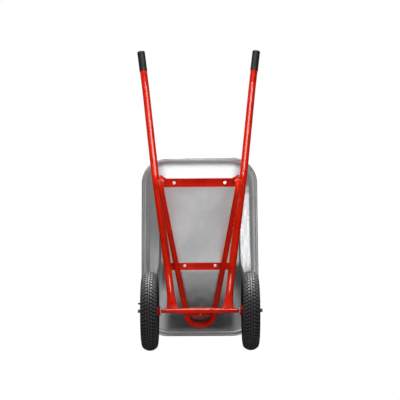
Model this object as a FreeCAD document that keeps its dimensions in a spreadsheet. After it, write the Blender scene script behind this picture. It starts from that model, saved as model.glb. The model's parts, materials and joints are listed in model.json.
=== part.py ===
"""Two-wheeled garden wheelbarrow, millimetres, +Z up, +Y forward, X across.

The barrow stands on its two tyres and on the two feet of its leg hoop, at z = 0.
The origin is on the ground, in the middle of the barrow's length and width.
"""
import FreeCAD, Part
import math
import os
import Sketcher

Vector = FreeCAD.Vector

# ---------------------------------------------------------------- driving sizes

SIZES = {
    # the tray's outer surface: its floor, its rim and the sheet
    "sheet_thick": 1.2,
    "wall_spread": 1.15,
    "floor_height": 300.0,
    "floor_rear": -72.0,
    "floor_front": 350.0,
    "floor_half_rear": 183.0,
    "floor_half_front": 187.0,
    "floor_corner": 48.0,
    "floor_bend": 6.0,
    "bend_share": 0.02,
    "rim_height": 560.0,
    "rim_rear": -156.0,
    "rim_front": 667.0,
    "rim_half_rear": 256.0,
    "rim_half_front": 264.0,
    "rim_corner": 104.0,
    "flange_width": 12.0,
    "bead_radius": 6.0,
    "bead_open_angle": 20.0,
    "wire_radius": 4.0,
    # handle tubes, each in its own upright plane
    "tube_radius": 17.5,
    "tube_wall": 1.8,
    "handle_plan_angle": 7.35,
    "handle_middle_half": 194.0,
    "handle_end_reach": -708.7,
    "handle_end_height": 633.8,
    "grip_bend_reach": -532.0,
    "grip_bend_height": 600.0,
    "tray_bend_reach": -72.6,
    "tube_height": 282.3,
    "axle_bend_reach": 366.0,
    "flat_start_reach": 482.0,
    "flat_end_reach": 533.0,
    "flat_end_height": 183.3,
    "handle_bend_radius": 100.0,
    "flat_half_width": 25.0,
    "flat_half_thick": 4.5,
    # grips
    "grip_radius": 19.3,
    "grip_length": 97.7,
    "grip_end_wall": 4.0,
    "grip_fit": 0.1,
    "grip_round": 3.0,
    "grip_round_middle": 0.9,
    # leg hoop
    "hoop_radius": 12.5,
    "hoop_wall": 1.8,
    "hoop_slope": 0.76,
    "foot_reach": -17.0,
    "foot_half": 168.7,
    "hoop_taper": 0.1717,
    "foot_bend_radius": 35.0,
    "foot_lift": 0.49,
    "nose_bend_radius": 65.6,
    "leg_top_half": 171.0,
    "leg_top_height": 236.0,
    "ear_half": 173.0,
    "ear_reach": -74.0,
    "ear_height": 287.6,
    "ear_half_width": 18.0,
    "ear_half_thick": 3.5,
    "ear_angle": 132.0,
    # crossbars
    "bar_thick": 2.5,
    "bar_cut": 500.0,
    "leg_rod_reach": 80.0,
    "rear_bar_reach": -52.5,
    "rear_bar_width": 39.5,
    "rear_bar_depth": 12.0,
    "middle_bar_reach": 337.0,
    "middle_bar_width": 33.0,
    "middle_bar_depth": 9.0,
    "front_bar_reach": 562.0,
    "front_bar_width": 34.0,
    "front_bar_depth": 10.0,
    "front_bar_half": 84.0,
    "front_bar_taper": 5.0,
    "weld_gap": 0.2,
    # bolted joints of the tray
    "bolt_radius": 4.0,
    "bolt_hole_radius": 4.6,
    "drill_depth": 20.0,
    "hole_gap": 0.4,
    "thread_gap": 0.05,
    "dome_across": 0.62,
    "dome_up": 0.8,
    "bolt_point": 1.0,
    "bolt_head_radius": 9.0,
    "bolt_head_height": 4.5,
    "washer_radius": 9.5,
    "washer_thick": 1.6,
    "nut_flats": 13.0,
    "nut_thick": 6.5,
    "short_bolt_length": 19.0,
    "long_bolt_length": 33.0,
    "rear_bolt_half": 118.0,
    "middle_bolt_half": 71.0,
    "middle_bolt_reach": 333.0,
    # axle beam and rod
    "axle_reach": 532.5,
    "axle_height": 180.0,
    "rod_radius": 8.0,
    "rod_half_length": 284.0,
    "beam_bore_radius": 8.2,
    "beam_half_length": 178.0,
    "beam_middle_radius": 13.6,
    "beam_end_radius": 9.7,
    "beam_middle_half": 40.0,
    "axle_washer_radius": 14.0,
    "axle_washer_thick": 1.5,
    "axle_washer_gap": 0.2,
    "washer_gap": 0.1,
    "spin_gap": 0.4,
    "cotter_radius": 1.9,
    "cotter_hole_radius": 2.1,
    "cotter_half": 272.6,
    "cotter_tail": 7.0,
    "cotter_reach": 13.0,
    "cotter_eye": 5.6,
    "cotter_curl": 2.6,
    "cotter_curl_rise": 1.5,
    "cotter_foot_bend": 2.5,
    "cotter_eye_bend": 4.0,
    "cotter_curl_bend": 3.0,
    # wheels
    "wheel_half_track": 229.0,
    "tyre_radius": 180.0,
    "tyre_half_width": 37.0,
    "tread_half_width": 33.5,
    "shoulder_radius": 164.0,
    "shoulder_wall": 8.0,
    "shoulder_drop": 3.0,
    "crown_wall": 10.0,
    "side_wall": 7.0,
    "side_rise": 36.0,
    "bead_wall": 7.0,
    "bead_step": 10.0,
    "lip_clearance": 2.0,
    "bead_seat_radius": 102.0,
    "bead_half_width": 27.0,
    "tube_ring_radius": 137.0,
    "tube_section_radius": 27.0,
    "tube_rubber": 2.0,
    "hub_radius": 21.0,
    "hub_bore_radius": 17.5,
    "hub_inner_end": -47.0,
    "hub_outer_end": 37.0,
    "bush_bore_radius": 8.05,
    "bush_length": 16.0,
    "bush_flange": 2.0,
    "rim_sheet": 2.0,
    "rim_cone_reach": 10.0,
    "rim_well_reach": 17.0,
    "rim_seat_reach": 20.0,
    "rim_seat_drop": 2.0,
    "rim_fit": 0.5,
    "rim_seat_gap": 0.3,
    "rim_fold": 1.4,
    "rim_lip_roll": 1.0,
    "rim_lip_width": 4.0,
    "rim_disc_radius": 64.0,
    "rim_well_radius": 92.0,
    "rim_lip_radius": 116.0,
    "rim_bolt_ring": 50.0,
    "rim_bolt_radius": 3.0,
    "rim_bolt_count": 4,
    "rim_bolt_flats": 10.0,
    "rim_bolt_head": 4.0,
    "rim_bolt_length": 12.0,
    "rim_nut_thick": 5.0,
    "valve_radius": 3.0,
    "valve_side": 13.0,
    "valve_root": 112.0,
    "valve_ring": 78.0,
    "valve_tip": 47.0,
    "valve_bend": 9.0,
    "valve_cap_radius": 3.8,
    "valve_cap_cover": 8.0,
    "valve_cap_end": 4.0,
    "valve_cap_chamfer": 2.0,
    "valve_cap_gap": 0.1,
    "valve_clock_left": -30.4,
    "valve_clock_right": 180.0,
}

os.makedirs("parts", exist_ok=True)
doc = FreeCAD.newDocument("wheelbarrow")
sheet = doc.addObject("Spreadsheet::Sheet", "sizes")
for row, (alias, number) in enumerate(SIZES.items(), start=1):
    sheet.set("A%d" % row, alias)
    sheet.set("B%d" % row, str(number))
    sheet.setAlias("B%d" % row, alias)
doc.recompute()

# ---------------------------------------------------------------- helpers


def val(expression):
    """The number that an expression in the sheet's cells has."""
    return float(sheet.evalExpression(str(expression)))


def bind(thing, place, expression):
    """Tie one property or constraint to the sheet, unless it is a plain number."""
    if isinstance(expression, str):
        thing.setExpression(place, expression)


def new_body(label):
    body = doc.addObject("PartDesign::Body", label)
    body.Label = label
    return body


def new_sketch(body, role, name, height=0, tilt=None):
    """A sketch on one of the body's own origin planes, raised along the plane's normal."""
    sketch = body.newObject("Sketcher::SketchObject", name)
    origin_plane = next(item for item in body.Origin.OriginFeatures if item.Role == role)
    sketch.AttachmentSupport = [(origin_plane, "")]
    sketch.MapMode = "FlatFace"
    sketch.AttachmentOffset = FreeCAD.Placement(Vector(0, 0, val(height)), FreeCAD.Rotation())
    bind(sketch, "AttachmentOffset.Base.z", height)
    if tilt is not None:
        rise, angle = tilt
        turn = FreeCAD.Rotation(Vector(1, 0, 0), val(angle))
        sketch.AttachmentOffset = FreeCAD.Placement(Vector(0, val(rise), val(height)), turn)
        bind(sketch, "AttachmentOffset.Base.y", rise)
        bind(sketch, "AttachmentOffset.Rotation.Angle", angle)
    return sketch


def add_constraint(sketch, kind, *where, value=None):
    if value is None:
        return sketch.addConstraint(Sketcher.Constraint(kind, *where))
    index = sketch.addConstraint(Sketcher.Constraint(kind, *where, val(value)))
    bind(sketch, "Constraints[%d]" % index, value)
    return index


def fix_point(sketch, geometry, end, x, y):
    """Tie a point to its two coordinates in the sketch."""
    add_constraint(sketch, "DistanceX", -1, 1, geometry, end, value=x)
    add_constraint(sketch, "DistanceY", -1, 1, geometry, end, value=y)


def end_at(sketch, geometry, point):
    """Which end of a curve lies at the point: 1 for its start, 2 for its end."""
    if sketch.getPoint(geometry, 1).distanceToPoint(point) < 1e-6:
        return 1
    return 2


def construction_point(sketch, x, y):
    point = sketch.addGeometry(Part.Point(Vector(val(x), val(y), 0)), True)
    fix_point(sketch, point, 1, x, y)
    return point


def outline(sketch, *points):
    """A closed outline. A third item marks a point that an arc runs through."""
    corners = [item for item in points if len(item) == 2]
    places = [Vector(val(x), val(y), 0) for x, y in corners]
    curves = []
    for number, (start, finish) in enumerate(zip(places, places[1:] + places[:1])):
        after = points.index(corners[number]) + 1
        if after < len(points) and len(points[after]) == 3:
            x, y, _ = points[after]
            arc = Part.Arc(start, Vector(val(x), val(y), 0), finish)
            curve = sketch.addGeometry(arc)
            add_constraint(sketch, "PointOnObject", construction_point(sketch, x, y), 1, curve)
        else:
            curve = sketch.addGeometry(Part.LineSegment(start, finish))
        curves.append(curve)
    for number, curve in enumerate(curves):
        place = places[number]
        before = curves[number - 1]
        own_end = end_at(sketch, curve, place)
        add_constraint(sketch, "Coincident", before, end_at(sketch, before, place), curve, own_end)
        fix_point(sketch, curve, own_end, *corners[number])
    return curves


def circle(sketch, x, y, radius):
    curve = sketch.addGeometry(Part.Circle(Vector(val(x), val(y), 0), Vector(0, 0, 1), val(radius)))
    fix_point(sketch, curve, 3, x, y)
    add_constraint(sketch, "Radius", curve, value=radius)
    return curve


def rounded_runs(places, radii):
    """Straight runs and the arcs between them: (start, end) and (start, middle, end) in turn."""
    pieces = []
    start = places[0]
    for before, corner, after, radius in zip(places, places[1:], places[2:], radii):
        back = (before - corner).normalize()
        ahead = (after - corner).normalize()
        half_angle = back.getAngle(ahead) / 2
        inward = (back + ahead).normalize()
        centre = corner + inward * (radius / math.sin(half_angle))
        touch_in = corner + back * (radius / math.tan(half_angle))
        touch_out = corner + ahead * (radius / math.tan(half_angle))
        pieces.append((start, touch_in))
        pieces.append((touch_in, centre - inward * radius, touch_out))
        start = touch_out
    pieces.append((start, places[-1]))
    return pieces


def rounded_path(sketch, points, radii, closed=False):
    """Straight runs through the points, with a tangent arc at each inner point."""
    places = [Vector(val(x), val(y), 0) for x, y in points]
    pieces = rounded_runs(places, [val(radius) for radius in radii])
    curves = []
    for piece in pieces:
        shape = Part.LineSegment(*piece) if len(piece) == 2 else Part.Arc(*piece)
        curves.append(sketch.addGeometry(shape))
    for number in range(1, len(curves), 2):
        run_in, arc, run_out = curves[number - 1:number + 2]
        touch_in, _, touch_out = pieces[number]
        add_constraint(sketch, "Tangent", run_in, 2, arc, end_at(sketch, arc, touch_in))
        add_constraint(sketch, "Tangent", run_out, 1, arc, end_at(sketch, arc, touch_out))
        add_constraint(sketch, "Radius", arc, value=radii[number // 2])
        corner = construction_point(sketch, *points[number // 2 + 1])
        add_constraint(sketch, "PointOnObject", corner, 1, run_in)
        add_constraint(sketch, "PointOnObject", corner, 1, run_out)
    fix_point(sketch, curves[0], 1, *points[0])
    if closed:
        add_constraint(sketch, "Coincident", curves[-1], 2, curves[0], 1)
    else:
        fix_point(sketch, curves[-1], 2, *points[-1])
    return ["Edge%d" % (number + 1) for number in range(len(curves))]


def section_at(body, path, edge, name, along=0.0):
    """A sketch that stands square across an edge of the path."""
    sketch = body.newObject("Sketcher::SketchObject", name)
    sketch.AttachmentSupport = [(path, edge)]
    sketch.MapMode = "NormalToEdge"
    sketch.MapPathParameter = along
    return sketch


def make_pipe(body, profile, path, edges, name, kind="PartDesign::AdditivePipe"):
    feature = body.newObject(kind, name)
    feature.Profile = profile
    feature.Spine = (path, edges)
    return feature


def make_revolution(body, profile, name, axis="H_Axis"):
    feature = body.newObject("PartDesign::Revolution", name)
    feature.Profile = profile
    feature.ReferenceAxis = (profile, [axis])
    feature.Angle = 360
    return feature


def make_pad(body, profile, name, length, midplane=False, reverse=False):
    feature = body.newObject("PartDesign::Pad", name)
    feature.Profile = profile
    feature.Length = val(length)
    bind(feature, "Length", length)
    feature.Midplane = midplane
    feature.Reversed = reverse
    return feature


def make_pocket(body, profile, name, length, midplane=False, reverse=False):
    """A pocket that has to take material away."""
    doc.recompute()
    before = body.Shape.Volume
    feature = body.newObject("PartDesign::Pocket", name)
    feature.Profile = profile
    feature.Length = val(length)
    bind(feature, "Length", length)
    feature.Midplane = midplane
    feature.Reversed = reverse
    doc.recompute()
    if not feature.Shape.Volume < before - 1:
        raise ValueError("%s cuts nothing" % name)
    return feature


def place(thing, x=0, y=0, z=0, turn=None):
    """Put a piece at a place that is tied to the sheet."""
    rotation = turn if turn is not None else FreeCAD.Rotation()
    thing.Placement = FreeCAD.Placement(Vector(val(x), val(y), val(z)), rotation)
    for axis, expression in (("x", x), ("y", y), ("z", z)):
        bind(thing, "Placement.Base." + axis, expression)


def turned(axis, angle):
    return FreeCAD.Rotation(Vector(*axis), val(angle))


ACROSS, FORWARD, UP = (1, 0, 0), (0, 1, 0), (0, 0, 1)
SIDES = (("left", -1), ("right", 1))
nodes = {}


def keep(node, piece):
    """Name a finished sub-part."""
    piece.Label = node
    nodes[node] = piece
    return piece


def cut_away(node, base, tools):
    """A sub-part with other solids taken out of it."""
    taken = tools[0]
    if len(tools) > 1:
        taken = doc.addObject("Part::MultiFuse", node + "_tools")
        taken.Shapes = tools
    result = doc.addObject("Part::Cut", node + "_cut")
    result.Base = base
    result.Tool = taken
    return keep(node, result)


def group(node, template, places):
    """Equal pieces in one sub-part, each a separate solid."""
    links = []
    for number, placement in enumerate(places):
        link = doc.addObject("App::Link", "%s_%d" % (node, number + 1))
        link.LinkedObject = template
        link.LinkPlacement = placement
        links.append(link)
    result = doc.addObject("Part::Compound", node + "_group")
    result.Links = links
    return keep(node, result)


# ---------------------------------------------------------------- tray


def tray_loop(sketch, rear, front, half_rear, half_front, corner):
    """A rounded trapezoid that starts and ends in the middle of its rear side."""
    points = [
        ("0", rear),
        ("-(%s)" % half_rear, rear),
        ("-(%s)" % half_front, front),
        (half_front, front),
        (half_rear, rear),
        ("0", rear),
    ]
    return rounded_path(sketch, points, [corner] * 4, closed=True)


def wall_loft(body, name, kind, inset, lift):
    """The solid inside the tray's walls, with a bend between them and the floor."""
    def between(floor_size, rim_size, share):
        return "sizes.{0} + {2} * (sizes.{1} - sizes.{0})".format(floor_size, rim_size, share)

    def section(label, share, drawn_in, height):
        sketch = new_sketch(body, "XY_Plane", name + label, height)
        tray_loop(sketch,
                  "%s + %s" % (between("floor_rear", "rim_rear", share), drawn_in),
                  "%s - (%s)" % (between("floor_front", "rim_front", share), drawn_in),
                  "%s - (%s)" % (between("floor_half_rear", "rim_half_rear", share), drawn_in),
                  "%s - (%s)" % (between("floor_half_front", "rim_half_front", share), drawn_in),
                  "%s - (%s)" % (between("floor_corner", "rim_corner", share), drawn_in))
        return sketch

    loft = body.newObject(kind, name)
    loft.Profile = section("_floor", "0", "sizes.floor_bend + " + inset, "sizes.floor_height + " + lift)
    loft.Sections = [
        section("_bend", "sizes.bend_share", inset,
                between("floor_height", "rim_height", "sizes.bend_share") + " + " + lift),
        section("_rim", "1", inset, "sizes.rim_height")]
    loft.Ruled = True
    doc.recompute()
    return loft


def bead_section(sketch):
    """The flange and the bead that is rolled under it, cut across the rear side."""
    flange_end = "sizes.rim_rear - sizes.flange_width - sizes.bead_radius"
    middle_height = "sizes.rim_height - sizes.bead_radius"
    centre = Vector(val(flange_end), val(middle_height), 0)
    outer = val("sizes.bead_radius")
    inner = val("sizes.bead_radius - sizes.sheet_thick")
    last = math.radians(360 - val("sizes.bead_open_angle"))
    arcs = []
    for radius in (outer, inner):
        full = Part.Circle(centre, Vector(0, 0, 1), radius)
        arcs.append(sketch.addGeometry(Part.ArcOfCircle(full, math.pi / 2, last)))
    big, small = arcs
    add_constraint(sketch, "Radius", big, value="sizes.bead_radius")
    add_constraint(sketch, "Radius", small, value="sizes.bead_radius - sizes.sheet_thick")
    fix_point(sketch, big, 3, flange_end, middle_height)
    add_constraint(sketch, "Coincident", big, 3, small, 3)
    add_constraint(sketch, "Vertical", big, 1, big, 3)
    add_constraint(sketch, "Vertical", small, 1, small, 3)
    wall = "sizes.rim_rear + sizes.sheet_thick"
    top, bottom = val("sizes.rim_height"), val("sizes.rim_height - sizes.sheet_thick")
    root = val(wall)
    upper = sketch.addGeometry(Part.LineSegment(Vector(root, top, 0), Vector(centre.x, top, 0)))
    lower = sketch.addGeometry(Part.LineSegment(Vector(centre.x, bottom, 0), Vector(root, bottom, 0)))
    side = sketch.addGeometry(Part.LineSegment(Vector(root, bottom, 0), Vector(root, top, 0)))
    ends = [centre + Vector(math.cos(last), math.sin(last), 0) * radius for radius in (outer, inner)]
    lip = sketch.addGeometry(Part.LineSegment(*ends))
    for first, second in (((upper, 2), (big, 1)), ((lower, 1), (small, 1)), ((lower, 2), (side, 1)),
                          ((side, 2), (upper, 1)), ((lip, 1), (big, 2)), ((lip, 2), (small, 2))):
        add_constraint(sketch, "Coincident", *first, *second)
    add_constraint(sketch, "Vertical", side)
    add_constraint(sketch, "DistanceX", -1, 1, side, 1, value=wall)
    add_constraint(sketch, "PointOnObject", big, 3, lip)
    add_constraint(sketch, "Horizontal", upper)
    return sketch


tray_body = new_body("tray_pressed")
wall_loft(tray_body, "outer_walls", "PartDesign::AdditiveLoft", "0", "0")
wall_loft(tray_body, "inner_walls", "PartDesign::SubtractiveLoft",
          "sizes.wall_spread * sizes.sheet_thick", "sizes.sheet_thick")
rim_line = new_sketch(tray_body, "XY_Plane", "rim_line", "sizes.rim_height")
rim_edges = tray_loop(rim_line, "sizes.rim_rear", "sizes.rim_front", "sizes.rim_half_rear",
                      "sizes.rim_half_front", "sizes.rim_corner")
rolled = bead_section(new_sketch(tray_body, "YZ_Plane", "rolled_section"))
make_pipe(tray_body, rolled, rim_line, rim_edges, "rolled_rim")
bolt_holes = new_sketch(tray_body, "XY_Plane", "bolt_holes", "sizes.floor_height")
for side in ("-", ""):
    circle(bolt_holes, side + "sizes.rear_bolt_half", "sizes.rear_bar_reach", "sizes.bolt_hole_radius")
    circle(bolt_holes, side + "sizes.middle_bolt_half", "sizes.middle_bolt_reach", "sizes.bolt_hole_radius")
make_pocket(tray_body, bolt_holes, "floor_holes", "sizes.drill_depth", midplane=True)

FRONT_WALL_RISE = "(sizes.rim_height - sizes.floor_height) / (sizes.rim_front - sizes.floor_front)"
FRONT_WALL_ANGLE = "atan(%s)" % FRONT_WALL_RISE
front_bar_height = "sizes.floor_height + (sizes.front_bar_reach - sizes.floor_front) * " + FRONT_WALL_RISE
front_bolt_place = FreeCAD.Placement(
    Vector(0, val("sizes.front_bar_reach"), val(front_bar_height)), turned(ACROSS, FRONT_WALL_ANGLE))
front_hole = doc.addObject("Part::Cylinder", "front_hole")
bind(front_hole, "Height", "2 * sizes.drill_depth")
bind(front_hole, "Radius", "sizes.bolt_hole_radius")
front_hole.Placement = front_bolt_place * FreeCAD.Placement(
    Vector(0, 0, -val("sizes.drill_depth")), FreeCAD.Rotation())
cut_away("tray", tray_body, [front_hole])

wire_body = keep("rim_wire", new_body("rim_wire"))
WIRE_OUT = "sizes.flange_width + sizes.bead_radius"
wire_line = new_sketch(wire_body, "XY_Plane", "wire_line", "sizes.rim_height - sizes.bead_radius")
wire_edges = tray_loop(
    wire_line, "sizes.rim_rear - (%s)" % WIRE_OUT, "sizes.rim_front + " + WIRE_OUT,
    "sizes.rim_half_rear + " + WIRE_OUT, "sizes.rim_half_front + " + WIRE_OUT,
    "sizes.rim_corner + " + WIRE_OUT)
wire_section = new_sketch(wire_body, "YZ_Plane", "wire_section")
circle(wire_section, "sizes.rim_rear - (%s)" % WIRE_OUT, "sizes.rim_height - sizes.bead_radius",
       "sizes.wire_radius")
make_pipe(wire_body, wire_section, wire_line, wire_edges, "wire")
doc.recompute()

# ---------------------------------------------------------------- axle beam, rod, washers and pins

beam = keep("axle_tube", new_body("axle_tube"))
beam_section = new_sketch(beam, "XY_Plane", "beam_section")
outline(beam_section,
        ("-sizes.beam_half_length", "sizes.beam_bore_radius"),
        ("-sizes.beam_half_length", "sizes.beam_end_radius"),
        ("-sizes.beam_middle_half", "sizes.beam_middle_radius"),
        ("sizes.beam_middle_half", "sizes.beam_middle_radius"),
        ("sizes.beam_half_length", "sizes.beam_end_radius"),
        ("sizes.beam_half_length", "sizes.beam_bore_radius"))
make_revolution(beam, beam_section, "beam_turned")
place(beam, 0, "sizes.axle_reach", "sizes.axle_height")

rod = keep("axle_rod", new_body("axle_rod"))
rod_section = new_sketch(rod, "YZ_Plane", "rod_section")
circle(rod_section, "0", "0", "sizes.rod_radius")
make_pad(rod, rod_section, "rod_length", "2 * sizes.rod_half_length", midplane=True)
cotter_holes = new_sketch(rod, "XY_Plane", "cotter_holes")
circle(cotter_holes, "-sizes.cotter_half", "0", "sizes.cotter_hole_radius")
circle(cotter_holes, "sizes.cotter_half", "0", "sizes.cotter_hole_radius")
make_pocket(rod, cotter_holes, "cotter_drilling", "4 * sizes.rod_radius", midplane=True)
place(rod, 0, "sizes.axle_reach", "sizes.axle_height")

washer_form = new_body("axle_washer_form")
washer_section = new_sketch(washer_form, "YZ_Plane", "washer_section")
circle(washer_section, "0", "0", "sizes.axle_washer_radius")
circle(washer_section, "0", "0", "sizes.rod_radius + sizes.axle_washer_gap")
make_pad(washer_form, washer_section, "washer_plate", "sizes.axle_washer_thick", midplane=True)
doc.recompute()
inner_washer_half = val("sizes.beam_half_length + sizes.washer_gap + sizes.axle_washer_thick / 2")
outer_washer_half = val("sizes.wheel_half_track + sizes.hub_outer_end + sizes.bush_flange"
                        " + sizes.spin_gap + sizes.axle_washer_thick / 2")
group("axle_washers", washer_form, [
    FreeCAD.Placement(Vector(half, val("sizes.axle_reach"), val("sizes.axle_height")), FreeCAD.Rotation())
    for half in (-outer_washer_half, -inner_washer_half, inner_washer_half, outer_washer_half)])

for side, sign in SIDES:
    pin = keep("cotter_pin_" + side, new_body("cotter_pin_" + side))
    pin_line = new_sketch(pin, "YZ_Plane", "pin_line")
    pin_edges = rounded_path(
        pin_line,
        [("sizes.cotter_tail", "-sizes.cotter_reach"),
         ("0", "-sizes.cotter_reach"),
         ("0", "sizes.cotter_reach"),
         ("sizes.cotter_eye", "sizes.cotter_reach + sizes.cotter_eye"),
         ("0", "sizes.cotter_reach + 2 * sizes.cotter_eye"),
         ("-sizes.cotter_eye", "sizes.cotter_reach + sizes.cotter_eye"),
         ("-sizes.cotter_curl", "sizes.cotter_reach + sizes.cotter_curl_rise")],
        ["sizes.cotter_foot_bend"] + ["sizes.cotter_eye_bend"] * 3 + ["sizes.cotter_curl_bend"])
    pin_section = section_at(pin, pin_line, "Edge1", "pin_section")
    circle(pin_section, "0", "0", "sizes.cotter_radius")
    make_pipe(pin, pin_section, pin_line, pin_edges, "pin_wire")
    place(pin, "%d * sizes.cotter_half" % sign, "sizes.axle_reach", "sizes.axle_height")
doc.recompute()

# ---------------------------------------------------------------- handle tubes and grips

FLAT_SLOPE = ("((sizes.flat_end_height - sizes.tube_height)"
              " / (sizes.flat_end_reach - sizes.axle_bend_reach))")
FLAT_ANGLE = "atan(%s)" % FLAT_SLOPE
FLAT_START_HEIGHT = ("sizes.tube_height + %s"
                     " * (sizes.flat_start_reach - sizes.axle_bend_reach)" % FLAT_SLOPE)
GRIP_ANGLE = ("-atan((sizes.handle_end_height - sizes.grip_bend_height)"
              " / (sizes.grip_bend_reach - sizes.handle_end_reach))")


def four_arcs(sketch, radius):
    """A circle in four arcs, to match the four sides of a flattened tube."""
    arcs = []
    for quarter in range(4):
        first = math.radians(45 + 90 * quarter)
        full = Part.Circle(Vector(0, 0, 0), Vector(0, 0, 1), val(radius))
        arcs.append(sketch.addGeometry(Part.ArcOfCircle(full, first, first + math.pi / 2)))
    for arc, following in zip(arcs, arcs[1:] + arcs[:1]):
        add_constraint(sketch, "Coincident", arc, 2, following, 1)
        add_constraint(sketch, "Coincident", arc, 3, -1, 1)
    add_constraint(sketch, "Radius", arcs[0], value=radius)


def flattened(sketch, half_width, half_thick):
    """A slot outline: two flats joined by half circles."""
    straight = "(%s) - (%s)" % (half_width, half_thick)
    outline(sketch,
            (straight, half_thick), ("-(%s)" % straight, half_thick),
            ("-(%s)" % half_width, "0", "arc"),
            ("-(%s)" % straight, "-(%s)" % half_thick), (straight, "-(%s)" % half_thick),
            (half_width, "0", "arc"))


def handle_tube(side, sign):
    """One bent tube, from the grip to the axle beam, flattened where it is welded."""
    body = new_body("handle_%s_bent" % side)
    line = new_sketch(body, "YZ_Plane", "handle_line")
    edges = rounded_path(
        line,
        [("sizes.handle_end_reach", "sizes.handle_end_height"),
         ("sizes.grip_bend_reach", "sizes.grip_bend_height"),
         ("sizes.tray_bend_reach", "sizes.tube_height"),
         ("sizes.axle_bend_reach", "sizes.tube_height"),
         ("sizes.flat_start_reach", FLAT_START_HEIGHT)],
        ["sizes.handle_bend_radius"] * 3)
    section = section_at(body, line, "Edge1", "tube_section")
    circle(section, "0", "0", "sizes.tube_radius")
    circle(section, "0", "0", "sizes.tube_radius - sizes.tube_wall")
    make_pipe(body, section, line, edges, "tube")
    loft_start = new_sketch(body, "XZ_Plane", "round_end", "-sizes.flat_start_reach",
                            (FLAT_START_HEIGHT, FLAT_ANGLE))
    four_arcs(loft_start, "sizes.tube_radius")
    loft_end = new_sketch(body, "XZ_Plane", "flat_end", "-sizes.flat_end_reach",
                          ("sizes.flat_end_height", FLAT_ANGLE))
    flattened(loft_end, "sizes.flat_half_width", "sizes.flat_half_thick")
    loft = body.newObject("PartDesign::AdditiveLoft", "flattening")
    loft.Profile = loft_start
    loft.Sections = [loft_end]
    loft.Ruled = True
    place(body, "%d * sizes.handle_middle_half" % sign, 0, 0,
          turned(UP, "%d * sizes.handle_plan_angle" % sign))
    doc.recompute()

    taper = doc.addObject("Part::Cone", "beam_taper_" + side)
    bind(taper, "Radius1", "sizes.beam_middle_radius")
    bind(taper, "Radius2", "sizes.beam_end_radius")
    bind(taper, "Height", "sizes.beam_half_length - sizes.beam_middle_half")
    place(taper, "%d * sizes.beam_middle_half" % sign, "sizes.axle_reach", "sizes.axle_height",
          turned(FORWARD, 90 * sign))
    cut_away("handle_tube_" + side, body, [taper])
    return body


def grip(side, sign, tube):
    """A sleeve pushed on the end of the handle tube, closed at its end."""
    body = keep("grip_" + side, new_body("grip_" + side))
    section = new_sketch(body, "XY_Plane", "grip_section")
    outline(section,
            ("0", "-sizes.grip_end_wall"),
            ("sizes.grip_radius - sizes.grip_round", "-sizes.grip_end_wall"),
            ("sizes.grip_radius - sizes.grip_round_middle",
             "sizes.grip_round_middle - sizes.grip_end_wall", "arc"),
            ("sizes.grip_radius", "sizes.grip_round - sizes.grip_end_wall"),
            ("sizes.grip_radius", "sizes.grip_length"),
            ("sizes.tube_radius + sizes.grip_fit", "sizes.grip_length"),
            ("sizes.tube_radius + sizes.grip_fit", "0"),
            ("0", "0"))
    make_revolution(body, section, "grip_turned", "V_Axis")
    tube_end = Vector(0, val("sizes.handle_end_reach"), val("sizes.handle_end_height"))
    body.Placement = tube.Placement * FreeCAD.Placement(tube_end, turned(ACROSS, GRIP_ANGLE))


for side, sign in SIDES:
    grip(side, sign, handle_tube(side, sign))
doc.recompute()

# ---------------------------------------------------------------- leg hoop

# The feet rest on the ground; the lift makes up for the lean of their bends.
hoop_height = ("(sizes.hoop_radius + sizes.foot_lift + sizes.foot_bend_radius"
               " - sizes.foot_bend_radius * sqrt(1 + sizes.hoop_slope ^ 2))")


def leg_point(reach, sign):
    """A point on the straight run of one leg, which rises and closes in towards the nose."""
    ahead = val(reach) - val("sizes.foot_reach")
    return Vector(sign * (val("sizes.foot_half") - ahead * val("sizes.hoop_taper")), val(reach),
                  val(hoop_height) + ahead * val("sizes.hoop_slope"))


def ear(sign):
    """The flattened top of a leg, turned edge-on against the crossbar and the handle tube."""
    upper = leg_point("sizes.foot_reach - sizes.foot_bend_radius", sign)
    start = Vector(sign * val("sizes.leg_top_half"), upper.y, val("sizes.leg_top_height"))
    finish = Vector(sign * val("sizes.ear_half"), val("sizes.ear_reach"), val("sizes.ear_height"))
    radius = val("sizes.hoop_radius")
    half_width, half_thick = val("sizes.ear_half_width"), val("sizes.ear_half_thick")
    angle = math.radians(val("sizes.ear_angle"))
    along = Vector(sign * math.cos(angle), math.sin(angle), 0)
    square = Vector(-along.y, along.x, 0)
    lean = (start - upper).normalize()
    ring_along = (along - lean * along.dot(lean)).normalize()
    ring_square = lean.cross(ring_along)
    round_edges = []
    for quarter in range(4):
        turn = [math.radians(45 + 90 * quarter + step) for step in (0, 45, 90)]
        corners = [start + ring_along * (radius * math.cos(item))
                   + ring_square * (radius * math.sin(item)) for item in turn]
        round_edges.append(Part.Arc(*corners).toShape())
    flat = half_width - half_thick
    corners = [finish + along * (side * flat) + square * (level * half_thick)
               for side, level in ((1, 1), (-1, 1), (-1, -1), (1, -1))]
    flat_edges = [
        Part.LineSegment(corners[0], corners[1]).toShape(),
        Part.Arc(corners[1], finish - along * half_width, corners[2]).toShape(),
        Part.LineSegment(corners[2], corners[3]).toShape(),
        Part.Arc(corners[3], finish + along * half_width, corners[0]).toShape()]
    return Part.makeLoft([Part.Wire(round_edges), Part.Wire(flat_edges)], True, True)


def hoop_places():
    upright = [leg_point("sizes.foot_reach - sizes.foot_bend_radius", sign) for sign in (-1, 1)]
    tops = [Vector(sign * val("sizes.leg_top_half"), upright[0].y, val("sizes.leg_top_height"))
            for sign in (-1, 1)]
    nose_ahead = val("sizes.foot_half / sizes.hoop_taper")
    nose = Vector(0, val("sizes.foot_reach") + nose_ahead,
                  val(hoop_height) + nose_ahead * val("sizes.hoop_slope"))
    return [tops[0], upright[0], nose, upright[1], tops[1]]


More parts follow.
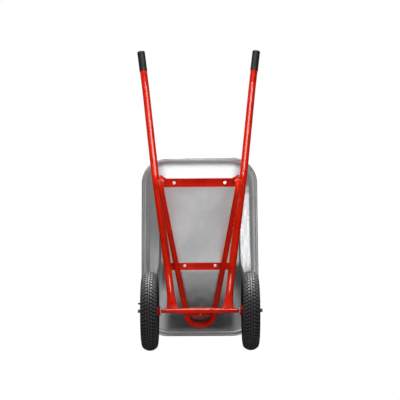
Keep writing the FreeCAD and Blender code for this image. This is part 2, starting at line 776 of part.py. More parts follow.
def sweep_along(pieces, radius):
    """A round bar that follows straight runs and arcs."""
    edges = [(Part.LineSegment(*piece) if len(piece) == 2 else Part.Arc(*piece)).toShape()
             for piece in pieces]
    start, heading = pieces[0][0], pieces[0][1] - pieces[0][0]
    ring = Part.Wire([Part.makeCircle(radius, start, heading)])
    return Part.Wire(edges).makePipeShell([ring], True, False)


hoop_pieces = rounded_runs(hoop_places(), [val("sizes.foot_bend_radius"), val("sizes.nose_bend_radius"),
                                           val("sizes.foot_bend_radius")])
hoop_bar = sweep_along(hoop_pieces, val("sizes.hoop_radius"))
hoop_bore = sweep_along(hoop_pieces, val("sizes.hoop_radius - sizes.hoop_wall"))
hoop = keep("leg_hoop", doc.addObject("Part::Feature", "leg_hoop"))
hoop.Shape = hoop_bar.cut(hoop_bore).fuse([ear(-1), ear(1)])

# ---------------------------------------------------------------- crossbars


def crossbar(name, half_rear, half_front, width, depth, thick):
    """A shallow pressed channel, open downwards, with its top face at height 0."""
    body = new_body(name)
    top = new_sketch(body, "XY_Plane", name + "_top")
    outline(top,
            ("-(%s)" % half_rear, "-%s / 2" % width), (half_rear, "-%s / 2" % width),
            (half_front, "%s / 2" % width), ("-(%s)" % half_front, "%s / 2" % width))
    make_pad(body, top, name + "_blank", depth, reverse=True)
    hollow = new_sketch(body, "YZ_Plane", name + "_hollow")
    edge = "%s / 2 - %s" % (width, thick)
    outline(hollow,
            ("-(%s)" % edge, "-(%s)" % depth), (edge, "-(%s)" % depth),
            (edge, "-(%s)" % thick), ("-(%s)" % edge, "-(%s)" % thick))
    make_pocket(body, hollow, name + "_channel", "sizes.bar_cut", midplane=True)
    return body


def bar_half(reach):
    """Half a crossbar's length where it meets the handle tubes."""
    return ("sizes.handle_middle_half - (%s) * tan(sizes.handle_plan_angle)"
            " - sizes.tube_radius / cos(sizes.handle_plan_angle) - sizes.weld_gap") % reach


def bar_holes(body, name, half, reach):
    holes = new_sketch(body, "XY_Plane", name)
    for side in ("-", ""):
        circle(holes, side + half, reach, "sizes.bolt_hole_radius")
    make_pocket(body, holes, name + "_drilled", "4 * sizes.bar_thick", midplane=True)


rear_bar = keep("crossbar_rear", crossbar(
    "rear_bar",
    bar_half("sizes.rear_bar_reach - sizes.rear_bar_width / 2"),
    bar_half("sizes.rear_bar_reach + sizes.rear_bar_width / 2"),
    "sizes.rear_bar_width", "sizes.rear_bar_depth", "sizes.bar_thick"))
bar_holes(rear_bar, "rear_holes", "sizes.rear_bolt_half", "0")
place(rear_bar, 0, "sizes.rear_bar_reach", "sizes.floor_height")

middle_bar = crossbar(
    "middle_bar",
    bar_half("sizes.middle_bar_reach - sizes.middle_bar_width / 2"),
    bar_half("sizes.middle_bar_reach + sizes.middle_bar_width / 2"),
    "sizes.middle_bar_width", "sizes.middle_bar_depth", "sizes.bar_thick")
bar_holes(middle_bar, "middle_holes", "sizes.middle_bolt_half",
          "sizes.middle_bolt_reach - sizes.middle_bar_reach")
place(middle_bar, 0, "sizes.middle_bar_reach", "sizes.floor_height")

front_bar = keep("crossbar_front", crossbar(
    "front_bar", "sizes.front_bar_half", "sizes.front_bar_half - sizes.front_bar_taper",
    "sizes.front_bar_width", "sizes.front_bar_depth", "sizes.bar_thick"))
front_bar_hole = new_sketch(front_bar, "XY_Plane", "front_bar_hole")
circle(front_bar_hole, "0", "0", "sizes.bolt_hole_radius")
make_pocket(front_bar, front_bar_hole, "front_bar_drilled", "4 * sizes.bar_thick", midplane=True)
place(front_bar, 0, "sizes.front_bar_reach", front_bar_height, turned(ACROSS, FRONT_WALL_ANGLE))

leg_rods = []
for side, sign in SIDES:
    low = leg_point("sizes.middle_bar_reach - sizes.leg_rod_reach", sign)
    high = leg_point("sizes.middle_bar_reach + sizes.leg_rod_reach", sign)
    leg_rod = doc.addObject("Part::Cylinder", "leg_rod_" + side)
    bind(leg_rod, "Radius", "sizes.hoop_radius")
    leg_rod.Height = (high - low).Length
    leg_rod.Placement = FreeCAD.Placement(low, FreeCAD.Rotation(Vector(0, 0, 1), high - low))
    leg_rods.append(leg_rod)
cut_away("crossbar_middle", middle_bar, leg_rods)
doc.recompute()

# ---------------------------------------------------------------- bolts, nuts and washers


def hexagon(sketch, flats):
    """A hexagon about the sketch's origin, as wide across its flats as said."""
    corner = "%s / 2 / cos(30)" % flats
    outline(sketch, *[("(%s) * cos(%d)" % (corner, 60 * step), "(%s) * sin(%d)" % (corner, 60 * step))
                      for step in range(6)])


def round_head_bolt(name, length):
    """A domed bolt with its head above height 0 and its shank below."""
    body = new_body(name)
    section = new_sketch(body, "XZ_Plane", name + "_section")
    outline(section,
            ("0", "sizes.bolt_head_height"),
            ("sizes.bolt_head_radius * sizes.dome_across", "sizes.bolt_head_height * sizes.dome_up", "arc"),
            ("sizes.bolt_head_radius", "0"),
            ("sizes.bolt_radius", "0"),
            ("sizes.bolt_radius", "sizes.bolt_point - %s" % length),
            ("sizes.bolt_radius - sizes.bolt_point", "-%s" % length),
            ("0", "-%s" % length))
    make_revolution(body, section, name + "_turned", "V_Axis")
    return body


def plain_nut(name, flats, thick, bore):
    """A hexagon nut that lies below height 0."""
    body = new_body(name)
    faces = new_sketch(body, "XY_Plane", name + "_faces")
    hexagon(faces, flats)
    circle(faces, "0", "0", bore)
    make_pad(body, faces, name + "_body", thick, reverse=True)
    return body


short_bolt = round_head_bolt("short_bolt", "sizes.short_bolt_length")
long_bolt = round_head_bolt("long_bolt", "sizes.long_bolt_length")
nut_form = plain_nut("nut_form", "sizes.nut_flats", "sizes.nut_thick", "sizes.bolt_radius + sizes.thread_gap")
flat_washer = new_body("flat_washer")
flat_washer_face = new_sketch(flat_washer, "XY_Plane", "flat_washer_face")
circle(flat_washer_face, "0", "0", "sizes.washer_radius")
circle(flat_washer_face, "0", "0", "sizes.bolt_radius + sizes.hole_gap")
make_pad(flat_washer, flat_washer_face, "flat_washer_plate", "sizes.washer_thick")
doc.recompute()

floor_bolt_places = [
    FreeCAD.Placement(Vector(sign * val(half), val(reach), val("sizes.floor_height")), FreeCAD.Rotation())
    for half, reach in (("sizes.rear_bolt_half", "sizes.rear_bar_reach"),
                        ("sizes.middle_bolt_half", "sizes.middle_bolt_reach"))
    for sign in (-1, 1)]
bolt_places = floor_bolt_places + [front_bolt_place]


def stacked(placement, height):
    return placement * FreeCAD.Placement(Vector(0, 0, val(height)), FreeCAD.Rotation())


HEAD_SEAT = "sizes.sheet_thick + sizes.washer_thick"
short_bolts = [stacked(item, HEAD_SEAT) for item in floor_bolt_places]
bolts = group("tray_bolts", short_bolt, short_bolts)
front_bolt = doc.addObject("App::Link", "front_bolt")
front_bolt.LinkedObject = long_bolt
front_bolt.LinkPlacement = stacked(front_bolt_place, HEAD_SEAT)
bolts.Links = bolts.Links + [front_bolt]
group("tray_washers", flat_washer, [stacked(item, "sizes.sheet_thick") for item in bolt_places])
group("tray_nuts", nut_form, [stacked(item, "-sizes.bar_thick") for item in bolt_places])

# ---------------------------------------------------------------- wheels


def tyre(body):
    """Tread, sidewalls and beads in one ring, open inwards where it sits on the rim."""
    section = new_sketch(body, "XY_Plane", "tyre_section")
    outline(section,
            ("sizes.bead_half_width", "sizes.bead_seat_radius"),
            ("sizes.bead_half_width", "sizes.rim_lip_radius + sizes.lip_clearance"),
            ("sizes.tyre_half_width", "sizes.bead_seat_radius + sizes.side_rise", "arc"),
            ("sizes.tread_half_width", "sizes.shoulder_radius"),
            ("0", "sizes.tyre_radius", "arc"),
            ("-sizes.tread_half_width", "sizes.shoulder_radius"),
            ("-sizes.tyre_half_width", "sizes.bead_seat_radius + sizes.side_rise", "arc"),
            ("-sizes.bead_half_width", "sizes.rim_lip_radius + sizes.lip_clearance"),
            ("-sizes.bead_half_width", "sizes.bead_seat_radius"),
            ("sizes.bead_wall - sizes.bead_half_width", "sizes.bead_seat_radius"),
            ("sizes.side_wall - sizes.bead_half_width", "sizes.bead_seat_radius + sizes.bead_step"),
            ("sizes.side_wall - sizes.tyre_half_width", "sizes.bead_seat_radius + sizes.side_rise", "arc"),
            ("sizes.shoulder_wall - sizes.tread_half_width", "sizes.shoulder_radius - sizes.shoulder_drop"),
            ("0", "sizes.tyre_radius - sizes.crown_wall", "arc"),
            ("sizes.tread_half_width - sizes.shoulder_wall", "sizes.shoulder_radius - sizes.shoulder_drop"),
            ("sizes.tyre_half_width - sizes.side_wall", "sizes.bead_seat_radius + sizes.side_rise", "arc"),
            ("sizes.bead_half_width - sizes.side_wall", "sizes.bead_seat_radius + sizes.bead_step"),
            ("sizes.bead_half_width - sizes.bead_wall", "sizes.bead_seat_radius"))
    make_revolution(body, section, "tyre_ring")


def inner_tube(body):
    section = new_sketch(body, "XY_Plane", "tube_ring_section")
    circle(section, "0", "sizes.tube_ring_radius", "sizes.tube_section_radius")
    circle(section, "0", "sizes.tube_ring_radius", "sizes.tube_section_radius - sizes.tube_rubber")
    make_revolution(body, section, "tube_ring")


def hub(body):
    section = new_sketch(body, "XY_Plane", "hub_section")
    outline(section,
            ("sizes.hub_inner_end", "sizes.hub_bore_radius"), ("sizes.hub_inner_end", "sizes.hub_radius"),
            ("sizes.hub_outer_end", "sizes.hub_radius"), ("sizes.hub_outer_end", "sizes.hub_bore_radius"))
    make_revolution(body, section, "hub_turned")


def bush(body, end, inward):
    """A flanged plain bearing: its flange lies on the hub's end, its body goes inward."""
    out = "-" if inward == "+" else "+"
    section = new_sketch(body, "XY_Plane", "bush_section")
    outline(section,
            (end, "sizes.hub_bore_radius"), (end, "sizes.hub_radius"),
            ("%s %s sizes.bush_flange" % (end, out), "sizes.hub_radius"),
            ("%s %s sizes.bush_flange" % (end, out), "sizes.bush_bore_radius"),
            ("%s %s sizes.bush_length" % (end, inward), "sizes.bush_bore_radius"),
            ("%s %s sizes.bush_length" % (end, inward), "sizes.hub_bore_radius"))
    make_revolution(body, section, "bush_turned")


def rim_half(body, valve_here):
    """One pressed half: disc, cone, well, bead seat and lip, with the rim's bolt holes."""
    side = "(sizes.bead_half_width + sizes.rim_fit)"
    section = new_sketch(body, "XY_Plane", "rim_section")
    outline(section,
            ("0", "sizes.hub_radius"),
            ("0", "sizes.rim_disc_radius"),
            ("sizes.rim_cone_reach", "sizes.rim_well_radius"),
            ("sizes.rim_well_reach", "sizes.rim_well_radius"),
            ("sizes.rim_seat_reach", "sizes.bead_seat_radius - sizes.rim_seat_drop"),
            (side, "sizes.bead_seat_radius - sizes.rim_seat_gap"),
            (side, "sizes.rim_lip_radius - 3 * sizes.rim_lip_roll"),
            (side + " + sizes.rim_lip_roll", "sizes.rim_lip_radius - 0.9 * sizes.rim_lip_roll", "arc"),
            (side + " + 3 * sizes.rim_lip_roll", "sizes.rim_lip_radius"),
            (side + " + sizes.rim_lip_width", "sizes.rim_lip_radius - 1.6 * sizes.rim_lip_roll"),
            (side + " + 2.6 * sizes.rim_lip_roll",
             "sizes.rim_lip_radius - 2.4 * sizes.rim_lip_roll", "arc"),
            (side + " + sizes.rim_sheet", "sizes.rim_lip_radius - sizes.rim_lip_width"),
            (side + " + sizes.rim_sheet", "sizes.bead_seat_radius - 1.2 * sizes.rim_seat_drop"),
            ("sizes.rim_seat_reach + sizes.rim_fold",
             "sizes.bead_seat_radius - 1.5 * sizes.rim_fold - sizes.rim_seat_drop"),
            ("sizes.rim_well_reach + sizes.rim_fold", "sizes.rim_well_radius - sizes.rim_sheet"),
            ("sizes.rim_cone_reach + sizes.rim_fold", "sizes.rim_well_radius - sizes.rim_sheet"),
            ("sizes.rim_sheet", "sizes.rim_disc_radius - sizes.rim_fold / 2"),
            ("sizes.rim_sheet", "sizes.hub_radius"))
    make_revolution(body, section, "rim_pressed")
    holes = new_sketch(body, "YZ_Plane", "rim_bolt_holes")
    for number in range(int(val("sizes.rim_bolt_count"))):
        angle = "(45 + %d * 360 / sizes.rim_bolt_count)" % number
        circle(holes, "sizes.rim_bolt_ring * cos(%s)" % angle, "sizes.rim_bolt_ring * sin(%s)" % angle,
               "sizes.rim_bolt_radius + sizes.hole_gap")
    make_pocket(body, holes, "rim_drilled", "4 * sizes.rim_sheet", midplane=True)
    if valve_here:
        opening = new_sketch(body, "XY_Plane", "valve_opening")
        circle(opening, "sizes.valve_side", "0", "sizes.valve_radius + sizes.hole_gap")
        make_pocket(body, opening, "valve_hole", "sizes.bead_seat_radius")


def valve_stem(body):
    """The stem comes through the rim well and turns outwards along the axle's direction."""
    line = new_sketch(body, "XZ_Plane", "valve_line")
    edges = rounded_path(line, [("sizes.valve_side", "-sizes.valve_root"),
                                ("sizes.valve_side", "-sizes.valve_ring"),
                                ("sizes.valve_tip", "-sizes.valve_ring")], ["sizes.valve_bend"])
    section = section_at(body, line, "Edge1", "valve_section")
    circle(section, "0", "0", "sizes.valve_radius")
    make_pipe(body, section, line, edges, "valve_bent")


def valve_cap(body):
    """A chamfered cap that covers the end of the stem."""
    section = new_sketch(body, "XZ_Plane", "cap_section")
    level = -val("sizes.valve_ring")
    axis_line = Part.LineSegment(Vector(0, level, 0), Vector(val("sizes.valve_tip"), level, 0))
    axis = section.addGeometry(axis_line, True)
    fix_point(section, axis, 1, 0, "-sizes.valve_ring")
    fix_point(section, axis, 2, "sizes.valve_tip", "-sizes.valve_ring")
    mouth = "sizes.valve_tip - sizes.valve_cap_cover"
    bore = "-sizes.valve_ring + sizes.valve_radius + sizes.thread_gap"
    outline(section,
            ("sizes.valve_tip + sizes.valve_cap_gap", "-sizes.valve_ring"),
            ("sizes.valve_tip + sizes.valve_cap_gap", bore),
            (mouth, bore),
            (mouth, "-sizes.valve_ring + sizes.valve_cap_radius"),
            ("sizes.valve_tip + sizes.valve_cap_end - sizes.valve_cap_chamfer",
             "-sizes.valve_ring + sizes.valve_cap_radius"),
            ("sizes.valve_tip + sizes.valve_cap_end",
             "-sizes.valve_ring + sizes.valve_cap_radius - sizes.valve_cap_chamfer"),
            ("sizes.valve_tip + sizes.valve_cap_end", "-sizes.valve_ring"))
    make_revolution(body, section, "cap_turned", "Axis0")


small_bolt = new_body("small_bolt")
small_bolt_head = new_sketch(small_bolt, "YZ_Plane", "small_bolt_head")
hexagon(small_bolt_head, "sizes.rim_bolt_flats")
make_pad(small_bolt, small_bolt_head, "small_head", "sizes.rim_bolt_head", reverse=True)
small_bolt_shank = new_sketch(small_bolt, "YZ_Plane", "small_bolt_shank")
circle(small_bolt_shank, "0", "0", "sizes.rim_bolt_radius")
make_pad(small_bolt, small_bolt_shank, "small_shank", "sizes.rim_bolt_length")
small_nut = new_body("small_nut")
small_nut_faces = new_sketch(small_nut, "YZ_Plane", "small_nut_faces")
hexagon(small_nut_faces, "sizes.rim_bolt_flats")
circle(small_nut_faces, "0", "0", "sizes.rim_bolt_radius + sizes.thread_gap")
make_pad(small_nut, small_nut_faces, "small_nut_body", "sizes.rim_nut_thick")
doc.recompute()


def wheel(side, sign, valve_faces, clock):
    """All the pieces of one wheel. Each is drawn facing right, about the tyre's middle."""
    spin = turned(ACROSS, clock)
    facing = {1: spin, -1: spin * turned(UP, 180)}

    def piece(name, direction, build, *details):
        body = keep("wheel_%s_%s" % (side, name), new_body("wheel_%s_%s" % (side, name)))
        build(body, *details)
        place(body, "%d * sizes.wheel_half_track" % sign, "sizes.axle_reach", "sizes.axle_height",
              facing[direction])
        doc.recompute()

    piece("tyre", sign, tyre)
    piece("inner_tube", sign, inner_tube)
    piece("rim_outer", sign, rim_half, valve_faces == sign)
    piece("rim_inner", -sign, rim_half, valve_faces == -sign)
    piece("hub", sign, hub)
    piece("bush_inner", sign, bush, "sizes.hub_inner_end", "+")
    piece("bush_outer", sign, bush, "sizes.hub_outer_end", "-")
    piece("valve_stem", valve_faces, valve_stem)
    piece("valve_cap", valve_faces, valve_cap)

    centre = Vector(sign * val("sizes.wheel_half_track"), val("sizes.axle_reach"), val("sizes.axle_height"))
    wheel_place = FreeCAD.Placement(centre, facing[1])
    ring = val("sizes.rim_bolt_ring")
    bolt_spots = []
    nut_spots = []
    for number in range(int(val("sizes.rim_bolt_count"))):
        angle = math.radians(45 + number * 360 / val("sizes.rim_bolt_count"))
        for spots, depth in ((bolt_spots, -val("sizes.rim_sheet")), (nut_spots, val("sizes.rim_sheet"))):
            spot = Vector(depth, ring * math.cos(angle), ring * math.sin(angle))
            spots.append(wheel_place * FreeCAD.Placement(spot, FreeCAD.Rotation()))
    group("wheel_%s_rim_bolts" % side, small_bolt, bolt_spots)
    group("wheel_%s_rim_nuts" % side, small_nut, nut_spots)


wheel("left", -1, -1, "sizes.valve_clock_left")
wheel("right", 1, -1, "sizes.valve_clock_right")

# ---------------------------------------------------------------- check and write

doc.recompute()
for item in doc.Objects:
    if "Invalid" in item.State or "Error" in item.State:
        raise ValueError("%s failed: %s" % (item.Label, item.State))
for node, piece in nodes.items():
    shape = piece.Shape
    if shape.isNull() or not shape.isValid() or not shape.Solids:
        raise ValueError("%s has no valid solid" % node)
    shape.exportStep("parts/%s.step" % node)
    box = shape.BoundBox
    print("%-28s solids %d  volume %9.0f  x %7.1f %7.1f  y %7.1f %7.1f  z %6.1f %6.1f" % (
        node, len(shape.Solids), shape.Volume, box.XMin, box.XMax, box.YMin, box.YMax, box.ZMin, box.ZMax))
print("%d sub-parts" % len(nodes))
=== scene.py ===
"""The looks of a two-wheeled garden wheelbarrow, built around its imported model.

Metres, +Z up, +Y forward, X across, the ground at z = 0.
"""
import json
import math
import random
import bpy
import numpy as np
from mathutils import Matrix, Vector

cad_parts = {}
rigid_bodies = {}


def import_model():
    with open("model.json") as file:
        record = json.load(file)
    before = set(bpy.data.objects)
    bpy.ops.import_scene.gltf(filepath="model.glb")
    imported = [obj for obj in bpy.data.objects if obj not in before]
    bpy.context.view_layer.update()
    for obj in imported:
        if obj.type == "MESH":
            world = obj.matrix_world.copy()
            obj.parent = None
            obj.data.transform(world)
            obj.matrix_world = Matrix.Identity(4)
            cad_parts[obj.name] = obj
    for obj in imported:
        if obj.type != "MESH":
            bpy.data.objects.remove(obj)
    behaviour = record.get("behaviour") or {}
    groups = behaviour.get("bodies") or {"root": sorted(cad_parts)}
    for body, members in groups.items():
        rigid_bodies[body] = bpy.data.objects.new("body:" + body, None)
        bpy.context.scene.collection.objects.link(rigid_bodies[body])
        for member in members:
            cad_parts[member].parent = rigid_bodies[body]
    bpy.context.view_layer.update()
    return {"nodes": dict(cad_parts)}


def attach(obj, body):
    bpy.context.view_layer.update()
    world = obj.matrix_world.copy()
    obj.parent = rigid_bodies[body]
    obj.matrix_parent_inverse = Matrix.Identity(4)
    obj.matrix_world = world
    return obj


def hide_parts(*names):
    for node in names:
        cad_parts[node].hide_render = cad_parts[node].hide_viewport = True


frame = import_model()
nodes = frame["nodes"]
scene = bpy.context.scene
UP = Vector((0, 0, 1))
ACROSS = Vector((1, 0, 0))
SIDES = (("left", -1), ("right", 1))

# -------------------- camera

CAMERA_PLACE = (0.0022, 0.028, -5.2)
CAMERA_ROLL = math.radians(-0.35)
SENSOR_MM, LENS_MM, FARTHEST = 36, 106.25, 60


def make_camera():
    """A long lens far below the barrow, that looks straight up with the handles at the top."""
    data = bpy.data.cameras.new("camera")
    data.sensor_width = SENSOR_MM
    data.lens = LENS_MM
    data.clip_end = FARTHEST
    camera = bpy.data.objects.new("camera", data)
    scene.collection.objects.link(camera)
    facing = Matrix.Diagonal((1, -1, -1)) @ Matrix.Rotation(CAMERA_ROLL, 3, "Z")
    camera.matrix_world = Matrix.Translation(CAMERA_PLACE) @ facing.to_4x4()
    scene.camera = camera


make_camera()

# -------------------- shapes

# how far an arc turns between two of its points
LINE_STEP, PROFILE_STEP = math.radians(6), math.radians(15)
LEAST_TURN = 0.02
# how much of a side one arc may use up
MOST_CUT = 0.48
WELD_STEP = 0.0012


def grid_faces(rows, columns, looped):
    """Quads between neighbouring rings of points, and from the last ring to the first if looped."""
    faces = []
    for row in range(rows if looped else rows - 1):
        here, after = row * columns, (row + 1) % rows * columns
        for step in range(columns):
            beside = (step + 1) % columns
            faces.append((here + step, here + beside, after + beside, after + step))
    return faces


def new_mesh(name, points, faces, material, sharp=45):
    """A smooth mesh with one material, whose edges are sharp past an angle in degrees."""
    mesh = bpy.data.meshes.new(name)
    mesh.from_pydata([tuple(point) for point in points], [], faces)
    mesh.validate()
    mesh.shade_smooth()
    mesh.set_sharp_from_angle(angle=math.radians(sharp))
    mesh.materials.append(material)
    return mesh


def add_piece(name, mesh, body, stands_for=None, place=(0, 0, 0)):
    """An object that rides on a body and may stand for a CAD node."""
    thing = bpy.data.objects.new(name, mesh)
    thing.location = place
    scene.collection.objects.link(thing)
    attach(thing, body)
    if stands_for:
        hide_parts(stands_for)
    return thing


def corner_arc(before, corner, after, radius, step_turn):
    """The points of the arc that rounds a corner."""
    come, leave = (corner - before).normalized(), (after - corner).normalized()
    turn = come.angle(leave)
    if radius <= 0 or turn < LEAST_TURN:
        return [corner]
    longest = MOST_CUT * min((corner - before).length, (after - corner).length)
    cut = min(radius * math.tan(turn / 2), longest)
    radius = cut / math.tan(turn / 2)
    inside = (leave - come * come.dot(leave)).normalized()
    start = corner - come * cut
    steps = max(2, round(turn / step_turn))
    arc = []
    for step in range(steps + 1):
        angle = turn * step / steps
        arc.append(start + inside * (radius * (1 - math.cos(angle))) + come * (radius * math.sin(angle)))
    return arc


def rounded_line(points, radii, run):
    """Points along straight runs whose corners are arcs of the given radii."""
    points = [Vector(point) for point in points]
    line = [points[0]]

    def straight_to(target):
        start = line[-1]
        steps = max(1, round((target - start).length / run))
        line.extend(start.lerp(target, step / steps) for step in range(1, steps + 1))

    for before, corner, after, radius in zip(points, points[1:], points[2:], radii):
        arc = corner_arc(before, corner, after, radius, LINE_STEP)
        straight_to(arc[0])
        line += arc[1:]
    straight_to(points[-1])
    return line


def rounded_profile(corners):
    """A closed outline of (along, radius, corner radius) with its corners rounded."""
    spots = [Vector(corner[:2]) for corner in corners]
    outline = []
    for index, (spot, corner) in enumerate(zip(spots, corners)):
        after = spots[(index + 1) % len(spots)]
        outline += corner_arc(spots[index - 1], spot, after, corner[2], PROFILE_STEP)
    return outline


def lengths_along(line):
    """How far along a line each of its points is."""
    lengths = [0.0]
    for before, after in zip(line, line[1:]):
        lengths.append(lengths[-1] + (after - before).length)
    return lengths


def sweep(line, section, side):
    """One ring of points for each point of a line. section(distance) gives (side, up) pairs."""
    rings = []
    for index, (point, distance) in enumerate(zip(line, lengths_along(line))):
        before, after = line[max(index - 1, 0)], line[min(index + 1, len(line) - 1)]
        ahead = (after - before).normalized()
        side = (side - ahead * ahead.dot(side)).normalized()
        upward = ahead.cross(side)
        rings.append([point + side * x + upward * y for x, y in section(distance)])
    return rings


def add_skin(name, rings, material, body="frame", stands_for=None, sharp=45):
    """A piece over rings of points, with fans over its two ends."""
    count = len(rings[0])
    base = (len(rings) - 1) * count
    points = [point for ring in rings for point in ring]
    points += [sum(rings[0], Vector()) / count, sum(rings[-1], Vector()) / count]
    faces = grid_faces(len(rings), count, False)
    faces += [(len(points) - 2, (step + 1) % count, step) for step in range(count)]
    faces += [(base + step, base + (step + 1) % count, len(points) - 1) for step in range(count)]
    add_piece(name, new_mesh(name, points, faces, material, sharp), body, stands_for)


def circle_section(radius, count):
    """The points of a circle as (side, up) pairs."""
    angles = [2 * math.pi * step / count for step in range(count)]
    return [(radius * math.cos(angle), radius * math.sin(angle)) for angle in angles]


def slot_point(angle, half_width, half_thick):
    """A point of a flat slot outline, for the same angle round a circle."""
    flat = half_width - half_thick
    spread = max(-1.0, min(1.0, 2.2 * math.cos(angle)))
    return flat * spread + half_thick * math.cos(angle), half_thick * math.sin(angle)


def ease(share):
    """A soft step: 0 up to 0, 1 from 1 on."""
    share = max(0.0, min(1.0, share))
    return share * share * (3 - 2 * share)


def window(share, start, full, fall):
    """0 up to start, 1 from full to fall, and 0 again at 1."""
    return ease((share - start) / (full - start)) * (1 - ease((share - fall) / (1 - fall)))


def hump(distance, spread):
    """A soft bump: 1 in its middle and almost 0 from twice its spread on."""
    return math.exp(-(distance / spread) ** 2)


def lathe(name, profile, centre, direction, material, body, stands_for, count):
    """A closed profile of (along, radius) pairs, turned about an axle that points along X."""
    points = []
    for along, radius in profile:
        points += [centre + Vector((direction * along, y, z)) for y, z in circle_section(radius, count)]
    faces = grid_faces(len(profile), count, True)
    if direction > 0:
        faces = [face[::-1] for face in faces]
    add_piece(name, new_mesh(name, points, faces, material), body, stands_for)


def weld_bead(name, line, radius, material, body, seed, looped=False):
    """A bead of overlapping ripples along a line of points."""
    chance = random.Random(seed)
    lengths = lengths_along(line)
    total = lengths[-1]
    steps = max(8, round(total / WELD_STEP))
    targets = [total * step / steps for step in range(steps + 1)]
    spots = [Vector(spot) for spot in zip(*(np.interp(targets, lengths, axis) for axis in zip(*line)))]
    pitch = radius * 1.1
    wander = [chance.uniform(-1, 1) for _ in range(int(total / pitch) + 3)]

    def section(distance):
        ripple = distance / pitch
        number = int(ripple)
        lump = 1 + 0.16 * (1 - (2 * (ripple - number) - 1) ** 2) + 0.10 * wander[number]
        taper = 1.0 if looped else min(1.0, 0.45 + 0.55 * min(distance, total - distance) / (2 * radius))
        return circle_section(radius * lump * taper, 10)

    start_side = UP if abs((spots[1] - spots[0]).normalized().z) < 0.9 else ACROSS
    add_skin(name, sweep(spots, section, start_side), material, body, sharp=80)


# -------------------- materials


class Nodes:
    """The nodes of a material or world, with short calls to add and link them."""

    def __init__(self, owner):
        owner.use_nodes = True
        self.tree = owner.node_tree

    def add(self, kind, inputs=None, **settings):
        """A node whose named inputs get numbers, colours or links."""
        node = self.tree.nodes.new("ShaderNode" + kind)
        for key, value in settings.items():
            setattr(node, key, value)
        for key, value in (inputs or {}).items():
            self.feed([node.inputs[key]], value)
        return node

    def link(self, source, socket):
        self.tree.links.new(source, socket)

    def feed(self, sockets, *values):
        """Gives each socket a number or a colour, or links an output to it."""
        for socket, value in zip(sockets, values):
            if isinstance(value, tuple):
                socket.default_value = (*value, 1)
            elif isinstance(value, (int, float)):
                socket.default_value = value
            else:
                self.link(value, socket)

    def sums(self, operation, first, second):
        node = self.add("Math", operation=operation)
        self.feed(node.inputs, first, second)
        return node.outputs[0]

    def show_mix(self, share, first, second, output="OutputMaterial"):
        """Shows a mix of two shaders."""
        mix = self.add("MixShader")
        self.feed(mix.inputs, share, first.outputs[0], second.outputs[0])
        self.link(mix.outputs[0], self.add(output).inputs["Surface"])


class Shader(Nodes):
    """A Principled material, whose uniform values are set on the shader's own sockets."""

    def __init__(self, name, **fixed):
        self.material = bpy.data.materials.new(name)
        super().__init__(self.material)
        self.surface = self.tree.nodes["Principled BSDF"]
        self.place = self.add("TexCoord").outputs["Object"]
        for key, value in fixed.items():
            self.surface.inputs[key.replace("_", " ")].default_value = value

    def noise(self, scale, detail=4.0, roughness=0.55, stretch=None):
        place = self.place
        if stretch:
            mapping = self.add("Mapping", {"Vector": place})
            mapping.inputs["Scale"].default_value = stretch
            place = mapping.outputs["Vector"]
        inputs = {"Scale": scale, "Detail": detail, "Roughness": roughness, "Vector": place}
        return self.add("TexNoise", inputs).outputs["Fac"]

    def cells(self, scale, output="Color"):
        return self.add("TexVoronoi", {"Scale": scale, "Vector": self.place}).outputs[output]

    def axes(self):
        parts = self.add("SeparateXYZ", {"Vector": self.place})
        return [parts.outputs[axis] for axis in "XYZ"]

    def distance(self, first, second):
        squares = [self.sums("POWER", part, 2) for part in (first, second)]
        return self.sums("SQRT", self.sums("ADD", *squares), 0)

    def ramp(self, source, *stops):
        """A colour ramp. Each stop is (position, colour or grey)."""
        node = self.add("ValToRGB", {"Fac": source})
        for element, (position, colour) in zip(node.color_ramp.elements, stops):
            element.position = position
            element.color = (*colour, 1) if isinstance(colour, tuple) else (colour, colour, colour, 1)
        return node.outputs["Color"]

    def spread(self, source, new_low, new_high, low=0.3, high=0.7):
        """Stretches a pattern, or its middle part if nothing else is said, over a new range."""
        inputs = {"Value": source, "From Min": low, "From Max": high, "To Min": new_low, "To Max": new_high}
        return self.add("MapRange", inputs).outputs["Result"]

    def mix(self, share, first, second):
        node = self.add("Mix", data_type="RGBA")
        self.feed([item for item in node.inputs if item.enabled], share, first, second)
        return next(item for item in node.outputs if item.enabled)

    def finish(self, colour, rough, *layers):
        """Links colour, roughness and bump layers of (height, strength, distance), the coarsest first."""
        self.link(colour, self.surface.inputs["Base Color"])
        self.link(rough, self.surface.inputs["Roughness"])
        normal = None
        for height, strength, distance in layers:
            node = self.add("Bump", {"Height": height, "Strength": strength, "Distance": distance})
            if normal:
                self.link(normal, node.inputs["Normal"])
            normal = node.outputs["Normal"]
        self.link(normal, self.surface.inputs["Normal"])
        return self.material


AXLE = Vector((0, 0.5325, 0.180))
TYRE_RADIUS, CROWN_RADIUS, TREAD_DEPTH = 0.180, 0.04307, 0.0060
TREAD_GREY = (0.048, 0.048, 0.047)
# The second colour is painted shade on the rims' edges by the tyres; the next line gives how far from the
# axle that shade starts and where it is full.
WORN_RED, RIM_EDGE_SHADE, DIRT = (0.30, 0.05, 0.035), (0.020, 0.012, 0.010), (0.16, 0.14, 0.12)
RIM_SHADE_START, RIM_SHADE_FULL = 0.103, 0.109
ZINC_TONE, ZINC_ROUGHNESS = 0.86, 0.34
EDGE_ANGLE = math.radians(50)


